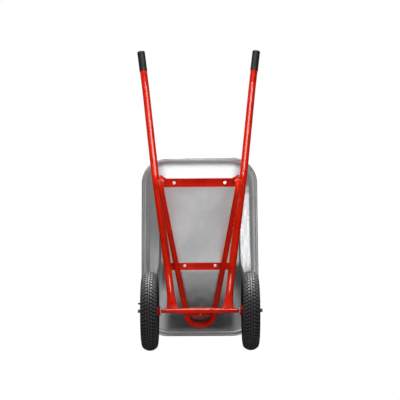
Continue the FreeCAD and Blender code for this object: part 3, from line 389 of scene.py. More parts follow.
def red_paint(name, deep, bright, rim_shade=False):
    """Powder coat: orange peel, changes of depth, fine scuffs, and painted shade where a rim meets its tyre.
    """
    shader = Shader(name, Specular_IOR_Level=0.09)
    base = shader.ramp(shader.noise(9, 5), (0.30, deep), (0.70, bright))
    scuff = shader.ramp(shader.noise(160, 6, 0.7, (1, 0.25, 1)), (0.70, 0.0), (0.78, 1.0))
    patches = shader.ramp(shader.noise(14, 3), (0.52, 0.0), (0.66, 1.0))
    worn = shader.sums("MULTIPLY", shader.sums("MULTIPLY", scuff, patches), 0.22)
    colour = shader.mix(worn, base, WORN_RED)
    if rim_shade:
        # painted shade: the rim goes dark towards its edge, where it meets the tyre
        _, reach, rise = shader.axes()
        ahead, above = shader.sums("SUBTRACT", reach, AXLE.y), shader.sums("SUBTRACT", rise, AXLE.z)
        from_axle = shader.distance(ahead, above)
        colour = shader.mix(shader.spread(from_axle, 0, 0.95, RIM_SHADE_START, RIM_SHADE_FULL), colour, RIM_EDGE_SHADE)
    return shader.finish(colour, shader.spread(shader.noise(30, 4), 0.17, 0.29),
                         (shader.noise(55, 2), 0.10, 0.002), (shader.noise(700, 2), 0.08, 0.0004))


def galvanised():
    """Hot-dip zinc on pressed sheet: faint spangle cells, soft drawing streaks and handling marks."""
    shader = Shader("galvanised", Metallic=0.98)
    cell = shader.spread(shader.cells(95), -0.028, 0.028, 0, 1)
    large = shader.spread(shader.noise(7, 4), -0.035, 0.035)
    streak = shader.spread(shader.noise(26, 4, 0.6, (1, 0.12, 1)), -0.02, 0.02)
    tone = shader.sums("ADD", shader.sums("ADD", cell, large), shader.sums("ADD", streak, ZINC_TONE))
    colour = shader.ramp(tone, (0.0, 0.0), (1.0, (0.98, 0.99, 1.0)))
    gloss = shader.sums("ADD", shader.spread(shader.cells(95), -0.03, 0.03, 0, 1), ZINC_ROUGHNESS)
    smear = shader.spread(shader.noise(20, 5, 0.65), -0.04, 0.08, 0.35)
    return shader.finish(colour, shader.sums("ADD", gloss, smear), (shader.noise(16, 3), 0.14, 0.004),
                         (shader.cells(95, "Distance"), 0.03, 0.0005), (shader.noise(420, 3), 0.03, 0.0003))


def plated(name, tint, rough_low, rough_high):
    """Bright zinc or brass, with darker films in places."""
    shader = Shader(name, Metallic=0.95)
    film = shader.ramp(shader.noise(120, 5, 0.65), (0.40, 0.0), (0.78, 1.0))
    colour = shader.mix(shader.sums("MULTIPLY", film, 0.45), tint, DIRT)
    rough = shader.spread(shader.noise(260, 4), rough_low, rough_high)
    return shader.finish(colour, rough, (shader.noise(900, 3), 0.12, 0.0003))


def axle_steel():
    """A plain rod whose ends took some of the red overspray."""
    shader = Shader("axle_steel", Metallic=0.7)
    spray = shader.ramp(shader.noise(150, 5, 0.7), (0.38, (0.42, 0.035, 0.02)), (0.62, (0.33, 0.22, 0.18)))
    rough = shader.spread(shader.noise(300, 4), 0.32, 0.52)
    return shader.finish(spray, rough, (shader.noise(800, 3), 0.15, 0.0003))


def rubber(name, dark, light, rough_low, rough_high, grain, gloss):
    """Moulded rubber: a fine grain and a film of dust in patches."""
    shader = Shader(name, Specular_IOR_Level=gloss)
    film = shader.ramp(shader.noise(24, 6, 0.65), (0.36, 0.0), (0.74, 1.0))
    fine = shader.ramp(shader.noise(320, 3), (0.35, 0.0), (0.70, 1.0))
    share = shader.sums("MULTIPLY", film, shader.sums("ADD", shader.sums("MULTIPLY", fine, 0.5), 0.5))
    rough = shader.spread(shader.noise(60, 5), rough_low, rough_high)
    return shader.finish(shader.mix(share, dark, light), rough, (shader.noise(90, 3), 0.12, 0.0012),
                         (shader.noise(grain, 3), 0.22, 0.0004))


def tread_rubber():
    """Tyre rubber: the tops of the blocks are scuffed grey, and the grooves stay black, partly as painted
    shade.
    """
    shader = Shader("tyre_rubber", Specular_IOR_Level=0.42)
    across, reach, rise = shader.axes()
    out = shader.sums("SUBTRACT", shader.distance(reach, rise), TYRE_RADIUS - CROWN_RADIUS)
    depth = shader.spread(shader.distance(across, out), 0, 1, CROWN_RADIUS - TREAD_DEPTH, CROWN_RADIUS)
    # darker in the grooves than on the block tops by depth: partly scuffed tops, partly painted shade in the
    # recesses
    top = shader.ramp(depth, (0.55, 0.0), (0.95, 1.0))
    patches = shader.spread(shader.noise(60, 5, 0.65), 0.55, 1.0)
    side = shader.ramp(shader.noise(24, 6, 0.65), (0.36, 0.004), (0.74, 0.010))
    colour = shader.mix(shader.sums("MULTIPLY", top, patches), side, TREAD_GREY)
    return shader.finish(colour, shader.spread(top, 0.70, 0.60, 0, 1), (shader.noise(90, 3), 0.12, 0.0012),
                         (shader.noise(650, 3), 0.22, 0.0004))


def plastic(name, colour, shade, rough_low, rough_high):
    shader = Shader(name)
    mottled = shader.ramp(shader.noise(140, 5), (0.3, shade), (0.7, colour))
    rough = shader.spread(shader.noise(420, 3), rough_low, rough_high)
    return shader.finish(mottled, rough, (shader.noise(700, 3), 0.12, 0.0003))


WHEEL_REDS = ((0.36, 0.003, 0.006), (0.46, 0.005, 0.012))
RED = red_paint("red_paint", (0.60, 0.008, 0.001), (0.78, 0.022, 0.003))
RED_DEEP = red_paint("red_paint_wheel", *WHEEL_REDS)
RED_RIM = red_paint("red_paint_rim", *WHEEL_REDS, rim_shade=True)
ZINC_SHEET = galvanised()
ZINC = plated("zinc_plate", (0.88, 0.87, 0.84), 0.24, 0.42)
BRASS = plated("valve_brass", (0.66, 0.50, 0.22), 0.22, 0.40)
ROD = axle_steel()
TYRE = tread_rubber()
TUBE = rubber("tube_rubber", (0.014, 0.014, 0.015), (0.026, 0.026, 0.026), 0.55, 0.78, 650, 0.38)
GRIP = rubber("grip_rubber", (0.007, 0.007, 0.007), (0.014, 0.014, 0.014), 0.42, 0.60, 900, 0.24)
BUSH = plastic("bush_plastic", (0.60, 0.50, 0.30), (0.50, 0.41, 0.23), 0.35, 0.50)
CAP = plastic("cap_plastic", (0.016, 0.016, 0.017), (0.010, 0.010, 0.011), 0.30, 0.45)

# what a CAD node's name holds, and its material. The rest are red.
CARRIED = {
    "rim_wire": ZINC, "axle_rod": ROD, "axle_washers": ZINC, "cotter_pin": ZINC, "tray_bolts": ZINC,
    "tray_washers": ZINC, "tray_nuts": ZINC, "inner_tube": TUBE, "bush": BUSH, "valve_stem": BRASS,
    "valve_cap": CAP, "rim_bolts": ZINC, "rim_nuts": ZINC,
}
# what a CAD node's name holds, and how wide its edges are broken
BROKEN_EDGES = {"crossbar": 0.0007, "washers": 0.0003, "nuts": 0.0003, "rim_bolts": 0.0003}


def dress_carried():
    """Paints the CAD nodes that stay in view, and breaks their sharp edges."""
    for name, node in nodes.items():
        material = next((item for part, item in CARRIED.items() if part in name), RED)
        node.data.materials.clear()
        node.data.materials.append(material)
        width = next((item for part, item in BROKEN_EDGES.items() if part in name), 0)
        if width:
            bevel = node.modifiers.new("edges", "BEVEL")
            bevel.width = width
            bevel.segments = 2
            bevel.limit_method = "ANGLE"
            bevel.angle_limit = EDGE_ANGLE


dress_carried()

# -------------------- tray

FLOOR_HEIGHT, RIM_HEIGHT = 0.300, 0.560
# rear, front, half width at the rear, half width at the front, corner radius
FLOOR_LOOP = (-0.072, 0.350, 0.183, 0.187, 0.048)
RIM_LOOP = (-0.156, 0.667, 0.256, 0.264, 0.104)
SIDE_STEPS, CORNER_STEP, LEAST_CORNER = 44, math.radians(90 / 14), 0.002
SHEET = 0.0012
FLOOR_BEND, RIM_BEND = 0.012, 0.005
FLANGE = 0.018
BEAD, BEAD_ROLL = 0.006, 250
# how far out along the flange, and how far down its pressed step lies there
FLANGE_STEP = ((0.0070, 0.0), (0.0086, 0.0022), (0.0114, 0.0022), (0.0130, 0.0004))
FLOOR_RINGS, WALL_STEPS, BEAD_STEPS = 14, 34, 16
TRAY_CENTRE = Vector((0, 0.139, FLOOR_HEIGHT))
# the floor's crown, how far from the middle it reaches, and the waves on it
CROWN, CROWN_HALF_WIDTH, CROWN_HALF_LENGTH, FLOOR_WAVE = 0.0022, 0.17, 0.2, 0.0006
# the press's marks on the walls: how deep, where along the tray, how long, and how far apart
CHATTER, CHATTER_PLACE, CHATTER_LENGTH, CHATTER_PITCH = 0.0011, 0.14, 0.16, 0.021
DENT, DENT_PLACE, DENT_LENGTH = 0.0022, 0.33, 0.05
WALL_WAVE, FOLD = 0.0016, 0.0010
# where the folds of the corners meet, across and along
FOLD_ACROSS, FOLD_REAR, FOLD_FRONT = 0.155, -0.047, 0.563
# where across they are deepest, and how far they reach across and along
FOLD_MIDDLE, FOLD_WIDTH, FOLD_LENGTH = 0.215, 0.05, 0.07


def loop_between(share):
    return tuple(low + share * (high - low) for low, high in zip(FLOOR_LOOP, RIM_LOOP))


def tray_ring(loop, outward, height):
    """Points round the tray at one level, anticlockwise from the middle of the rear."""
    rear, front, half_rear, half_front, corner = loop
    rear, front, corner = rear - outward, front + outward, max(corner + outward, LEAST_CORNER)
    half_rear, half_front = half_rear + outward, half_front + outward
    corners = [Vector((half_rear, rear, 0)), Vector((half_front, front, 0)),
               Vector((-half_front, front, 0)), Vector((-half_rear, rear, 0))]
    arcs = [corner_arc(corners[index - 1], here, corners[(index + 1) % 4], corner, CORNER_STEP)
            for index, here in enumerate(corners)]
    ring = []
    for index, arc in enumerate(arcs):
        last = arcs[index - 1][-1]
        ring += [last.lerp(arc[0], step / SIDE_STEPS) for step in range(1, SIDE_STEPS)]
        ring += arc
    return [Vector((point.x, point.y, height)) for point in ring]


def blend_rings(first, corner, last, steps):
    """A smooth bend: each point runs on a parabola from one ring to the other."""
    rings = []
    for step in range(1, steps):
        share = step / steps
        rings.append([a * (1 - share) ** 2 + b * (2 * share * (1 - share)) + c * share ** 2
                      for a, b, c in zip(first, corner, last)])
    return rings


def press_marks(point, share):
    """How far the drawn sheet ripples outwards at a wall point."""
    x, y = point.x, point.y
    along = hump(y - CHATTER_PLACE, CHATTER_LENGTH) if abs(x) > 0.19 else 0.0
    ripple = math.sin(2 * math.pi * y / CHATTER_PITCH + 3 * math.sin(y * 31))
    soft = math.sin(7.3 * x + 2.1) * math.sin(9.1 * y + 0.6) * math.sin(math.pi * share)
    dent = hump(y - DENT_PLACE, DENT_LENGTH) * hump(share - 0.6, 0.2) * (1 if x > 0 else -0.6)
    return CHATTER * along * window(share, 0.45, 0.85, 0.93) * ripple + WALL_WAVE * soft + DENT * dent


def corner_folds(point, share):
    """Small folds that fan down the corners from the rim."""
    ahead = point.y - (FOLD_REAR if point.y < 0.2 else FOLD_FRONT)
    reach = hump(abs(point.x) - FOLD_MIDDLE, FOLD_WIDTH) * hump(ahead, FOLD_LENGTH)
    angle = math.atan2(ahead, abs(point.x) - FOLD_ACROSS)
    return FOLD * reach * window(share, 0.35, 0.85, 0.94) * math.sin(angle * 26)


def floor_rings(edge):
    """Rings from near the floor's middle out to its edge, with a slight crown."""
    rings = []
    for step in range(1, FLOOR_RINGS + 1):
        ring = [TRAY_CENTRE.lerp(point, (step / FLOOR_RINGS) ** 0.85) for point in edge]
        for point in ring:
            away = max(abs(point.x) / CROWN_HALF_WIDTH, abs(point.y - TRAY_CENTRE.y) / CROWN_HALF_LENGTH)
            wave = math.sin(21 * point.x + 14 * point.y) * ease((1 - away) * 3)
            point.z += CROWN * ease((1 - away) * 1.2) + FLOOR_WAVE * wave
        rings.append(ring)
    return rings


def wall_ring(share):
    """A ring of the wall at a share of its height, with the marks of the press."""
    level = FLOOR_HEIGHT + share * (RIM_HEIGHT - FLOOR_HEIGHT)
    ring = tray_ring(loop_between(share), 0, level)
    for point, out in zip(ring, tray_ring(loop_between(share), 0.01, level)):
        point += (out - point).normalized() * (press_marks(point, share) + corner_folds(point, share))
    return ring


def make_tray():
    floor_edge = tray_ring(FLOOR_LOOP, -FLOOR_BEND, FLOOR_HEIGHT)
    low = FLOOR_BEND / (RIM_HEIGHT - FLOOR_HEIGHT)
    high = 1 - RIM_BEND / (RIM_HEIGHT - FLOOR_HEIGHT)
    wall_start = tray_ring(loop_between(low), 0, FLOOR_HEIGHT + FLOOR_BEND)
    wall_end = tray_ring(loop_between(high), 0, RIM_HEIGHT - RIM_BEND)
    flange_start = tray_ring(RIM_LOOP, RIM_BEND, RIM_HEIGHT)
    rings = floor_rings(floor_edge)
    rings += blend_rings(floor_edge, tray_ring(FLOOR_LOOP, 0, FLOOR_HEIGHT), wall_start, 6)
    rings += [wall_ring(low + (high - low) * step / WALL_STEPS) for step in range(WALL_STEPS + 1)]
    rings += blend_rings(wall_end, tray_ring(RIM_LOOP, 0, RIM_HEIGHT), flange_start, 5)
    rings.append(flange_start)
    rings += [tray_ring(RIM_LOOP, outward, RIM_HEIGHT - sink) for outward, sink in FLANGE_STEP]
    for step in range(BEAD_STEPS + 1):
        angle = math.radians(90 - BEAD_ROLL * step / BEAD_STEPS)
        rings.append(tray_ring(RIM_LOOP, FLANGE + BEAD * math.cos(angle),
                               RIM_HEIGHT - BEAD + BEAD * math.sin(angle)))
    count = len(rings[0])
    points = [point for ring in rings for point in ring] + [TRAY_CENTRE + UP * CROWN]
    faces = grid_faces(len(rings), count, False)
    faces += [(len(points) - 1, (step + 1) % count, step) for step in range(count)]
    mesh = new_mesh("tray_pressed", points, [face[::-1] for face in faces], ZINC_SHEET, 60)
    tray = add_piece("tray_pressed", mesh, "frame", "tray")
    skin = tray.modifiers.new("sheet", "SOLIDIFY")
    skin.thickness = SHEET
    skin.offset = -1
    skin.use_even_offset = True


make_tray()

# -------------------- axle beam

BEAM_HALF, BEAM_MIDDLE_HALF = 0.178, 0.040
BEAM_MIDDLE_RADIUS, BEAM_END_RADIUS = 0.0136, 0.0097
BEAM_STEPS = 72
# how far the beam's ends are rolled in, and over what length
BEAM_ROLL, BEAM_ROLL_LENGTH = 0.0012, 0.003


def beam_radius(x):
    share = (abs(x) - BEAM_MIDDLE_HALF) / (BEAM_HALF - BEAM_MIDDLE_HALF)
    return BEAM_MIDDLE_RADIUS + max(0.0, min(1.0, share)) * (BEAM_END_RADIUS - BEAM_MIDDLE_RADIUS)


def make_beam():
    """The tapered cross tube, with its ends rolled in a little."""
    line = [AXLE + ACROSS * (BEAM_HALF * (2 * step / BEAM_STEPS - 1)) for step in range(BEAM_STEPS + 1)]
    line[1:1] = [line[0].lerp(line[1], share) for share in (0.2, 0.5)]
    line[-1:-1] = [line[-1].lerp(line[-2], share) for share in (0.5, 0.2)]

    def section(distance):
        from_end = min(distance, 2 * BEAM_HALF - distance)
        rolled = BEAM_ROLL * (1 - ease(from_end / BEAM_ROLL_LENGTH))
        return circle_section(beam_radius(distance - BEAM_HALF) - rolled, 48)

    add_skin("axle_beam", sweep(line, section, UP), RED, stands_for="axle_tube")


make_beam()

# -------------------- handle tubes and grips

TUBE_RADIUS = 0.0175
PLAN_ANGLE = math.radians(7.35)
HANDLE_HALF = 0.194
# reach and height in the handle's own upright plane
HANDLE_POINTS = ((-0.7087, 0.6338), (-0.532, 0.600), (-0.0726, 0.2823), (0.366, 0.2823), (0.533, 0.1833))
HANDLE_BEND = 0.100
FLATTEN_START, FLATTEN_LENGTH = 0.448, 0.078
FLAT_HALF_WIDTH, FLAT_HALF_THICK = 0.025, 0.0045
GRIP_RADIUS, GRIP_LENGTH = 0.0193, 0.0977
# how far a grip's ribs stay from its ends, and over what length they start
RIBS_FROM_END, RIBS_FROM_MOUTH, RIBS_START = 0.010, 0.009, 0.004
RIB_DEPTH, RIB_COUNT = 0.00035, 32
KNURL_DEPTH, KNURL_PITCH = 0.0002, 0.0029


def handle_frame(sign):
    """The handle's upright plane: where it crosses the origin's line, and its two directions."""
    start = Vector((sign * HANDLE_HALF, 0, 0))
    ahead = Vector((-sign * math.sin(PLAN_ANGLE), math.cos(PLAN_ANGLE), 0))
    aside = Vector((math.cos(PLAN_ANGLE), sign * math.sin(PLAN_ANGLE), 0))
    return start, ahead, aside


def handle_point(sign, reach, height):
    start, ahead, _ = handle_frame(sign)
    return start + ahead * reach + UP * height


def flat_share(sign, point):
    """How far a handle tube is pressed flat at a point of its line."""
    start, ahead, _ = handle_frame(sign)
    return ease(((point - start).dot(ahead) - FLATTEN_START) / FLATTEN_LENGTH) ** 1.7


def make_handle(side, sign):
    line = rounded_line([handle_point(sign, *point) for point in HANDLE_POINTS], [HANDLE_BEND] * 3, 0.012)
    lengths = lengths_along(line)
    shares = [flat_share(sign, point) for point in line]

    def section(distance):
        share = float(np.interp(distance, lengths, shares))
        ring = []
        for step, (x, y) in enumerate(circle_section(TUBE_RADIUS, 48)):
            angle = 2 * math.pi * step / 48
            flat_x, flat_y = slot_point(angle, FLAT_HALF_WIDTH, FLAT_HALF_THICK)
            pinch = 1 - 0.35 * share * (1 - share) * hump(math.cos(angle), 0.35)
            ring.append((x + share * (flat_x - x), (y + share * (flat_y - y)) * pinch))
        return ring

    rings = sweep(line, section, handle_frame(sign)[2])
    add_skin("handle_" + side, rings, RED, stands_for="handle_tube_" + side)


def grip_profile(plain):
    """The sleeve's outline as (along, radius): a domed end, the ribbed stretch, a lip and the mouth."""
    spots = [(-0.0040, 0.0), (-0.0040, 0.009), (-0.0038, plain - 0.0043), (-0.0030, plain - 0.0020),
             (-0.0014, plain - 0.0005), (0.0010, plain), (0.0060, plain)]
    spots += [(0.008 + (GRIP_LENGTH - 0.0164) * step / 56, plain) for step in range(57)]
    lip = ((-0.0060, plain), (-0.0050, GRIP_RADIUS), (-0.0010, GRIP_RADIUS), (-0.0001, plain - 0.0002),
           (0.0, plain - 0.001), (0.0, TUBE_RADIUS + 0.0001))
    spots += [(GRIP_LENGTH + back, radius) for back, radius in lip]
    return spots + [(0.0, TUBE_RADIUS + 0.0001), (0.0, 0.0)]


def make_grip(side, sign):
    """A moulded sleeve: fine lengthways ribs between two plain bands, and a domed end."""
    end = handle_point(sign, *HANDLE_POINTS[0])
    ahead = (handle_point(sign, *HANDLE_POINTS[1]) - end).normalized()
    aside = handle_frame(sign)[2]
    upward = ahead.cross(aside)
    plain = GRIP_RADIUS - 0.0002
    count = 96
    rings = []
    for along, radius in grip_profile(plain):
        ribbed = 0
        if radius == plain:
            ribbed = ease((along - RIBS_FROM_END) / RIBS_START)
            ribbed *= ease((GRIP_LENGTH - RIBS_FROM_MOUTH - along) / RIBS_START)
        knurl = KNURL_DEPTH * (0.5 + 0.5 * math.sin(along * 2 * math.pi / KNURL_PITCH))
        ring = []
        for step, (x, y) in enumerate(circle_section(1.0, count)):
            rib = RIB_DEPTH * (0.5 + 0.5 * math.cos(2 * math.pi * RIB_COUNT * step / count))
            reach = max(radius, 1e-5) - (rib + knurl) * ribbed
            ring.append(end + ahead * along + aside * (reach * x) + upward * (reach * y))
        rings.append(ring)
    add_skin("grip_sleeve_" + side, rings, GRIP, "frame", "grip_" + side, 70)


for side, sign in SIDES:
    make_handle(side, sign)
    make_grip(side, sign)

# -------------------- leg hoop

HOOP_RADIUS = 0.0125
FOOT_REACH, FOOT_HALF, FOOT_BEND, NOSE_BEND = -0.017, 0.1687, 0.035, 0.0656
HOOP_SLOPE, HOOP_TAPER, FOOT_LIFT = 0.76, 0.1717, 0.00049
HOOP_HEIGHT = HOOP_RADIUS + FOOT_LIFT + FOOT_BEND - FOOT_BEND * math.sqrt(1 + HOOP_SLOPE ** 2)
LEG_TOP = Vector((0.171, FOOT_REACH - FOOT_BEND, 0.236))
EAR = Vector((0.173, -0.074, 0.2876))
EAR_HALF_WIDTH, EAR_HALF_THICK = 0.018, 0.0035
EAR_ANGLE = math.radians(132)
EAR_STEPS = 12
# how far a bend's section is spread and flattened, and how far along the tube
BEND_WIDER, BEND_FLATTER, BEND_REACH = 0.05, 0.06, 0.022


def leg_point(reach, sign):
    """A point on the straight run of one leg."""
    ahead = reach - FOOT_REACH
    return Vector((sign * (FOOT_HALF - ahead * HOOP_TAPER), reach, HOOP_HEIGHT + ahead * HOOP_SLOPE))


def mirrored(point, sign):
    return Vector((sign * point.x, point.y, point.z))


def ear_directions(sign):
    """Along the ear's flat and square to it, seen from above."""
    along = Vector((sign * math.cos(EAR_ANGLE), math.sin(EAR_ANGLE), 0))
    return along, Vector((-along.y, along.x, 0))


def ear_rings(ring, point, sign):
    """Rings that flatten a leg's top and turn it edge-on to the crossbar."""
    along, square = ear_directions(sign)
    finish = mirrored(EAR, sign)
    targets = []
    for spot in ring:
        angle = math.atan2((spot - point).dot(square), (spot - point).dot(along))
        flat_x, flat_y = slot_point(angle, EAR_HALF_WIDTH, EAR_HALF_THICK)
        targets.append(finish + along * flat_x + square * flat_y)
    rings = []
    for step in range(1, EAR_STEPS + 1):
        share = step / EAR_STEPS
        shape = ease(share * 1.15)
        middle = point.lerp(finish, share)
        rings.append([(spot - point) * (1 - shape) + middle + (target - finish) * shape
                      for spot, target in zip(ring, targets)])
    return rings


def make_hoop():
    nose = leg_point(FOOT_REACH + FOOT_HALF / HOOP_TAPER, 1)
    uprights = [leg_point(FOOT_REACH - FOOT_BEND, sign) for sign in (-1, 1)]
    corners = [mirrored(LEG_TOP, -1), uprights[0], nose, uprights[1], LEG_TOP]
    line = rounded_line(corners, [FOOT_BEND, NOSE_BEND, FOOT_BEND], 0.014)
    lows = [min(line, key=lambda spot: (spot - upright).length) for upright in uprights]
    lengths = lengths_along(line)
    bends = [max(hump((spot - low).length, BEND_REACH) for low in lows) for spot in line]

    def section(distance):
        bend = float(np.interp(distance, lengths, bends))
        return [(x * (1 + BEND_WIDER * bend), y * (1 - BEND_FLATTER * bend))
                for x, y in circle_section(HOOP_RADIUS, 36)]

    rings = sweep(line, section, ACROSS)
    first = ear_rings(rings[0], line[0], -1)
    last = ear_rings(rings[-1], line[-1], 1)
    add_skin("leg_hoop_bent", first[::-1] + rings + last, RED, stands_for="leg_hoop")


make_hoop()

# -------------------- wheels

WHEEL_HALF_TRACK = 0.229
SHOULDER = math.asin(0.0335 / CROWN_RADIUS) * CROWN_RADIUS
TREAD_PITCHES = 66
# where round one pitch the points of the tread lie, from 0 to 1
PITCH_MARKS = (0.0, 0.06, 0.12, 0.15, 0.25, 0.35, 0.38, 0.50, 0.62, 0.65, 0.75, 0.85, 0.88, 0.94)
RIB, RIB_GROOVE, BLOCK, BLOCK_GROOVE = 0.0026, 0.0058, 0.0165, 0.0195
RIB_SWAY, BLOCK_SWAY = 0.0018, 0.0012
WALL_STEP = 0.0005
INNER_STEPS, OUTER_STEPS, SIDE_WALL_STEPS = 5, 8, 26
# how much of a pitch the grooves lean, and over what width they lean one way
LEAN, LEAN_WIDTH = 0.16, 0.023
# points of the sidewall as (across, radius): at the rim, at its widest, at the tread
WALL_LOW, WALL_MIDDLE, WALL_HIGH = Vector((0.0270, 0.118)), Vector((0.037, 0.138)), Vector((0.0335, 0.164))
# the raised lines of the sidewall: radius, height, half width
WALL_RIDGES = ((0.146, 0.0005, 0.0010), (0.1265, 0.0005, 0.0010), (0.1205, 0.0008, 0.0012))
# the bead and the inside of one half of the tyre, as (across, radius)
TYRE_INSIDE = (
    (0.0270, 0.116), (0.0270, 0.110), (0.0270, 0.1035), (0.0258, 0.102), (0.0212, 0.102), (0.0200, 0.1035),
    (0.0200, 0.112), (0.0255, 0.124), (0.0300, 0.138), (0.0285, 0.152), (0.0240, 0.161), (0.0130, 0.167),
    (0.0, 0.169))
HUB_WELD_REACH, HUB_WELD_RADIUS, HUB_WELD_SIZE, HUB_WELD_STEPS = 0.0024, 0.0215, 0.0019, 60


def zigzag(turn):
    """A triangle wave between -1 and 1."""
    return 4 * abs(turn - math.floor(turn) - 0.5) - 1


def tread_rows():
    """Half the tread, from the middle outwards: how far out, what is cut there, how far it zigzags."""
    rows = [(0.0, "solid", RIB_SWAY), (RIB, "solid", RIB_SWAY),
            (RIB + WALL_STEP, "groove", RIB_SWAY), (RIB_GROOVE - WALL_STEP, "groove", RIB_SWAY)]
    for step in range(INNER_STEPS + 1):
        share = step / INNER_STEPS
        sway = RIB_SWAY + (BLOCK_SWAY - RIB_SWAY) * share
        rows.append((RIB_GROOVE + (BLOCK - RIB_GROOVE) * share, "inner", sway))
    rows += [(BLOCK + WALL_STEP, "groove", BLOCK_SWAY), (BLOCK_GROOVE - WALL_STEP, "groove", BLOCK_SWAY)]
    for step in range(OUTER_STEPS + 1):
        share = step / OUTER_STEPS
        rows.append((BLOCK_GROOVE + (SHOULDER - BLOCK_GROOVE) * share, "outer", BLOCK_SWAY * (1 - share)))
    return rows


def wall_rows():
    """The sidewall as (across, radius, out across, out along the radius, lug depth)."""
    a, b = WALL_MIDDLE - WALL_LOW, WALL_HIGH - WALL_LOW
    cross = 2 * (a.x * b.y - a.y * b.x)
    centre = WALL_LOW + Vector(((b.y * a.length_squared - a.y * b.length_squared) / cross,
                                (a.x * b.length_squared - b.x * a.length_squared) / cross))
    radius = (WALL_LOW - centre).length
    start, end = (math.atan2(edge.y - centre.y, edge.x - centre.x) for edge in (WALL_HIGH, WALL_LOW))
    rows = []
    for step in range(1, SIDE_WALL_STEPS + 1):
        angle = start + (end - start) * step / SIDE_WALL_STEPS
        out = Vector((math.cos(angle), math.sin(angle)))
        spot = centre + out * radius
        lug = TREAD_DEPTH * 0.8 * (1 - ease(step / 8))
        spot += out * sum(height * hump(spot.y - place, width) for place, height, width in WALL_RIDGES)
        rows.append((*spot, *out, lug))
    return rows


def cut_at(kind, turn):
    """How deep the tread is cut: 0 on top, 1 in its grooves."""
    if kind in ("solid", "groove"):
        return float(kind == "groove")
    start, end = (0.38, 0.62) if kind == "inner" else (0.88, 1.12)
    turn -= math.floor(turn)
    if kind == "outer" and turn < 0.13:
        turn += 1
    return float(start - 1e-6 <= turn <= end + 1e-6)


def tread_point(offset, kind, sway, turn, side, shift):
    """A point of the tread as (across, radius, how much of a pitch it leans)."""
    angle = (side * offset + sway * zigzag(turn)) / CROWN_RADIUS
    depth = TREAD_DEPTH * (1 - 0.2 * ease((offset - 0.03) / 0.01))
    reach = CROWN_RADIUS - depth * cut_at(kind, turn + shift)
    lean = LEAN * zigzag(offset / LEAN_WIDTH + 0.5)
    return reach * math.sin(angle), TYRE_RADIUS - CROWN_RADIUS + reach * math.cos(angle), lean


def tyre_half(turns, side, shift):
    """The rows of one half of the tyre's outside, from the middle to the rim."""
    rows = [[tread_point(*row, turn, side, shift) for turn in turns] for row in tread_rows()]
    for across, radius, out_x, out_y, lug in wall_rows():
        sinks = [lug * cut_at("outer", turn + shift) for turn in turns]
        rows.append([(side * (across - out_x * sink), radius - out_y * sink, 0.0) for sink in sinks])
    return rows


def tyre_mesh():
    turns = [number + mark for number in range(TREAD_PITCHES) for mark in PITCH_MARKS]
    rows = tyre_half(turns, -1, 0.5)[:0:-1] + tyre_half(turns, 1, 0.0)
    inside = TYRE_INSIDE + tuple((-across, radius) for across, radius in TYRE_INSIDE[-2::-1])
    rows += [[(across, radius, 0.0)] * len(turns) for across, radius in inside]
    points = []
    for row in rows:
        for turn, (across, radius, lean) in zip(turns, row):
            angle = 2 * math.pi * (turn + lean) / TREAD_PITCHES
            points.append((across, radius * math.cos(angle), radius * math.sin(angle)))
    return new_mesh("tyre", points, grid_faces(len(rows), len(turns), True), TYRE, 38)


# along, radius, corner radius of one pressed half, from the hub outwards and back
RIM_PROFILE = (
    (0.0, 0.0210, 0), (0.0, 0.0290, 0.003), (0.0030, 0.0330, 0.003), (0.0030, 0.0395, 0.003),
    (0.0, 0.0435, 0.003), (0.0, 0.0640, 0.006), (0.0100, 0.0920, 0.004), (0.0170, 0.0920, 0.003),
    (0.0200, 0.1000, 0.003), (0.0275, 0.1017, 0.003), (0.0275, 0.1130, 0.001), (0.0287, 0.1152, 0.0012),
    (0.0307, 0.1160, 0.001), (0.0317, 0.1148, 0.0008), (0.0307, 0.1134, 0.0007), (0.0295, 0.1120, 0.001),
    (0.0295, 0.0996, 0.005), (0.0214, 0.0979, 0.005), (0.0184, 0.0900, 0.005), (0.0113, 0.0900, 0.006),
    (0.0020, 0.0633, 0.008), (0.0020, 0.0440, 0.004), (0.0050, 0.0400, 0.003), (0.0050, 0.0325, 0.003),
    (0.0020, 0.0285, 0.004), (0.0020, 0.0210, 0))
HUB_PROFILE = (
    (-0.0470, 0.0176, 0), (-0.0470, 0.0198, 0.0008), (-0.0458, 0.0210, 0.0008), (0.0358, 0.0210, 0.0008),
    (0.0370, 0.0198, 0.0008), (0.0370, 0.0176, 0))


def make_wheel(side, sign, tyre):
    body = "wheel_" + side
    centre = Vector((sign * WHEEL_HALF_TRACK, AXLE.y, AXLE.z))
    add_piece("tyre_tread_" + side, tyre, body, "wheel_%s_tyre" % side, centre)
    rim = rounded_profile(RIM_PROFILE)
    circle = circle_section(HUB_WELD_RADIUS, HUB_WELD_STEPS)
    for half, facing in (("outer", sign), ("inner", -sign)):
        name = "%s_%s" % (side, half)
        lathe("rim_" + name, rim, centre, facing, RED_RIM, body, "wheel_%s_rim_%s" % (side, half), 128)
        ring = [centre + Vector((facing * HUB_WELD_REACH, y, z)) for y, z in circle + circle[:1]]
        weld_bead("weld_hub_" + name, ring, HUB_WELD_SIZE, RED_DEEP, body, sign * 10 + facing, looped=True)
    lathe("hub_tube_" + side, rounded_profile(HUB_PROFILE), centre, sign, RED_DEEP, body,
          "wheel_%s_hub" % side, 96)


SHARED_TYRE = tyre_mesh()
for side, sign in SIDES:
    make_wheel(side, sign, SHARED_TYRE)

# -------------------- welds

HANDLE_BEAD, EAR_BEAD, BAR_BEAD = 0.0027, 0.0034, 0.0024
# where each crossbar starts and ends along Y, and how deep its channel is
REAR_BAR, MIDDLE_BAR = (-0.07225, -0.03275, 0.012), (0.3205, 0.3535, 0.009)


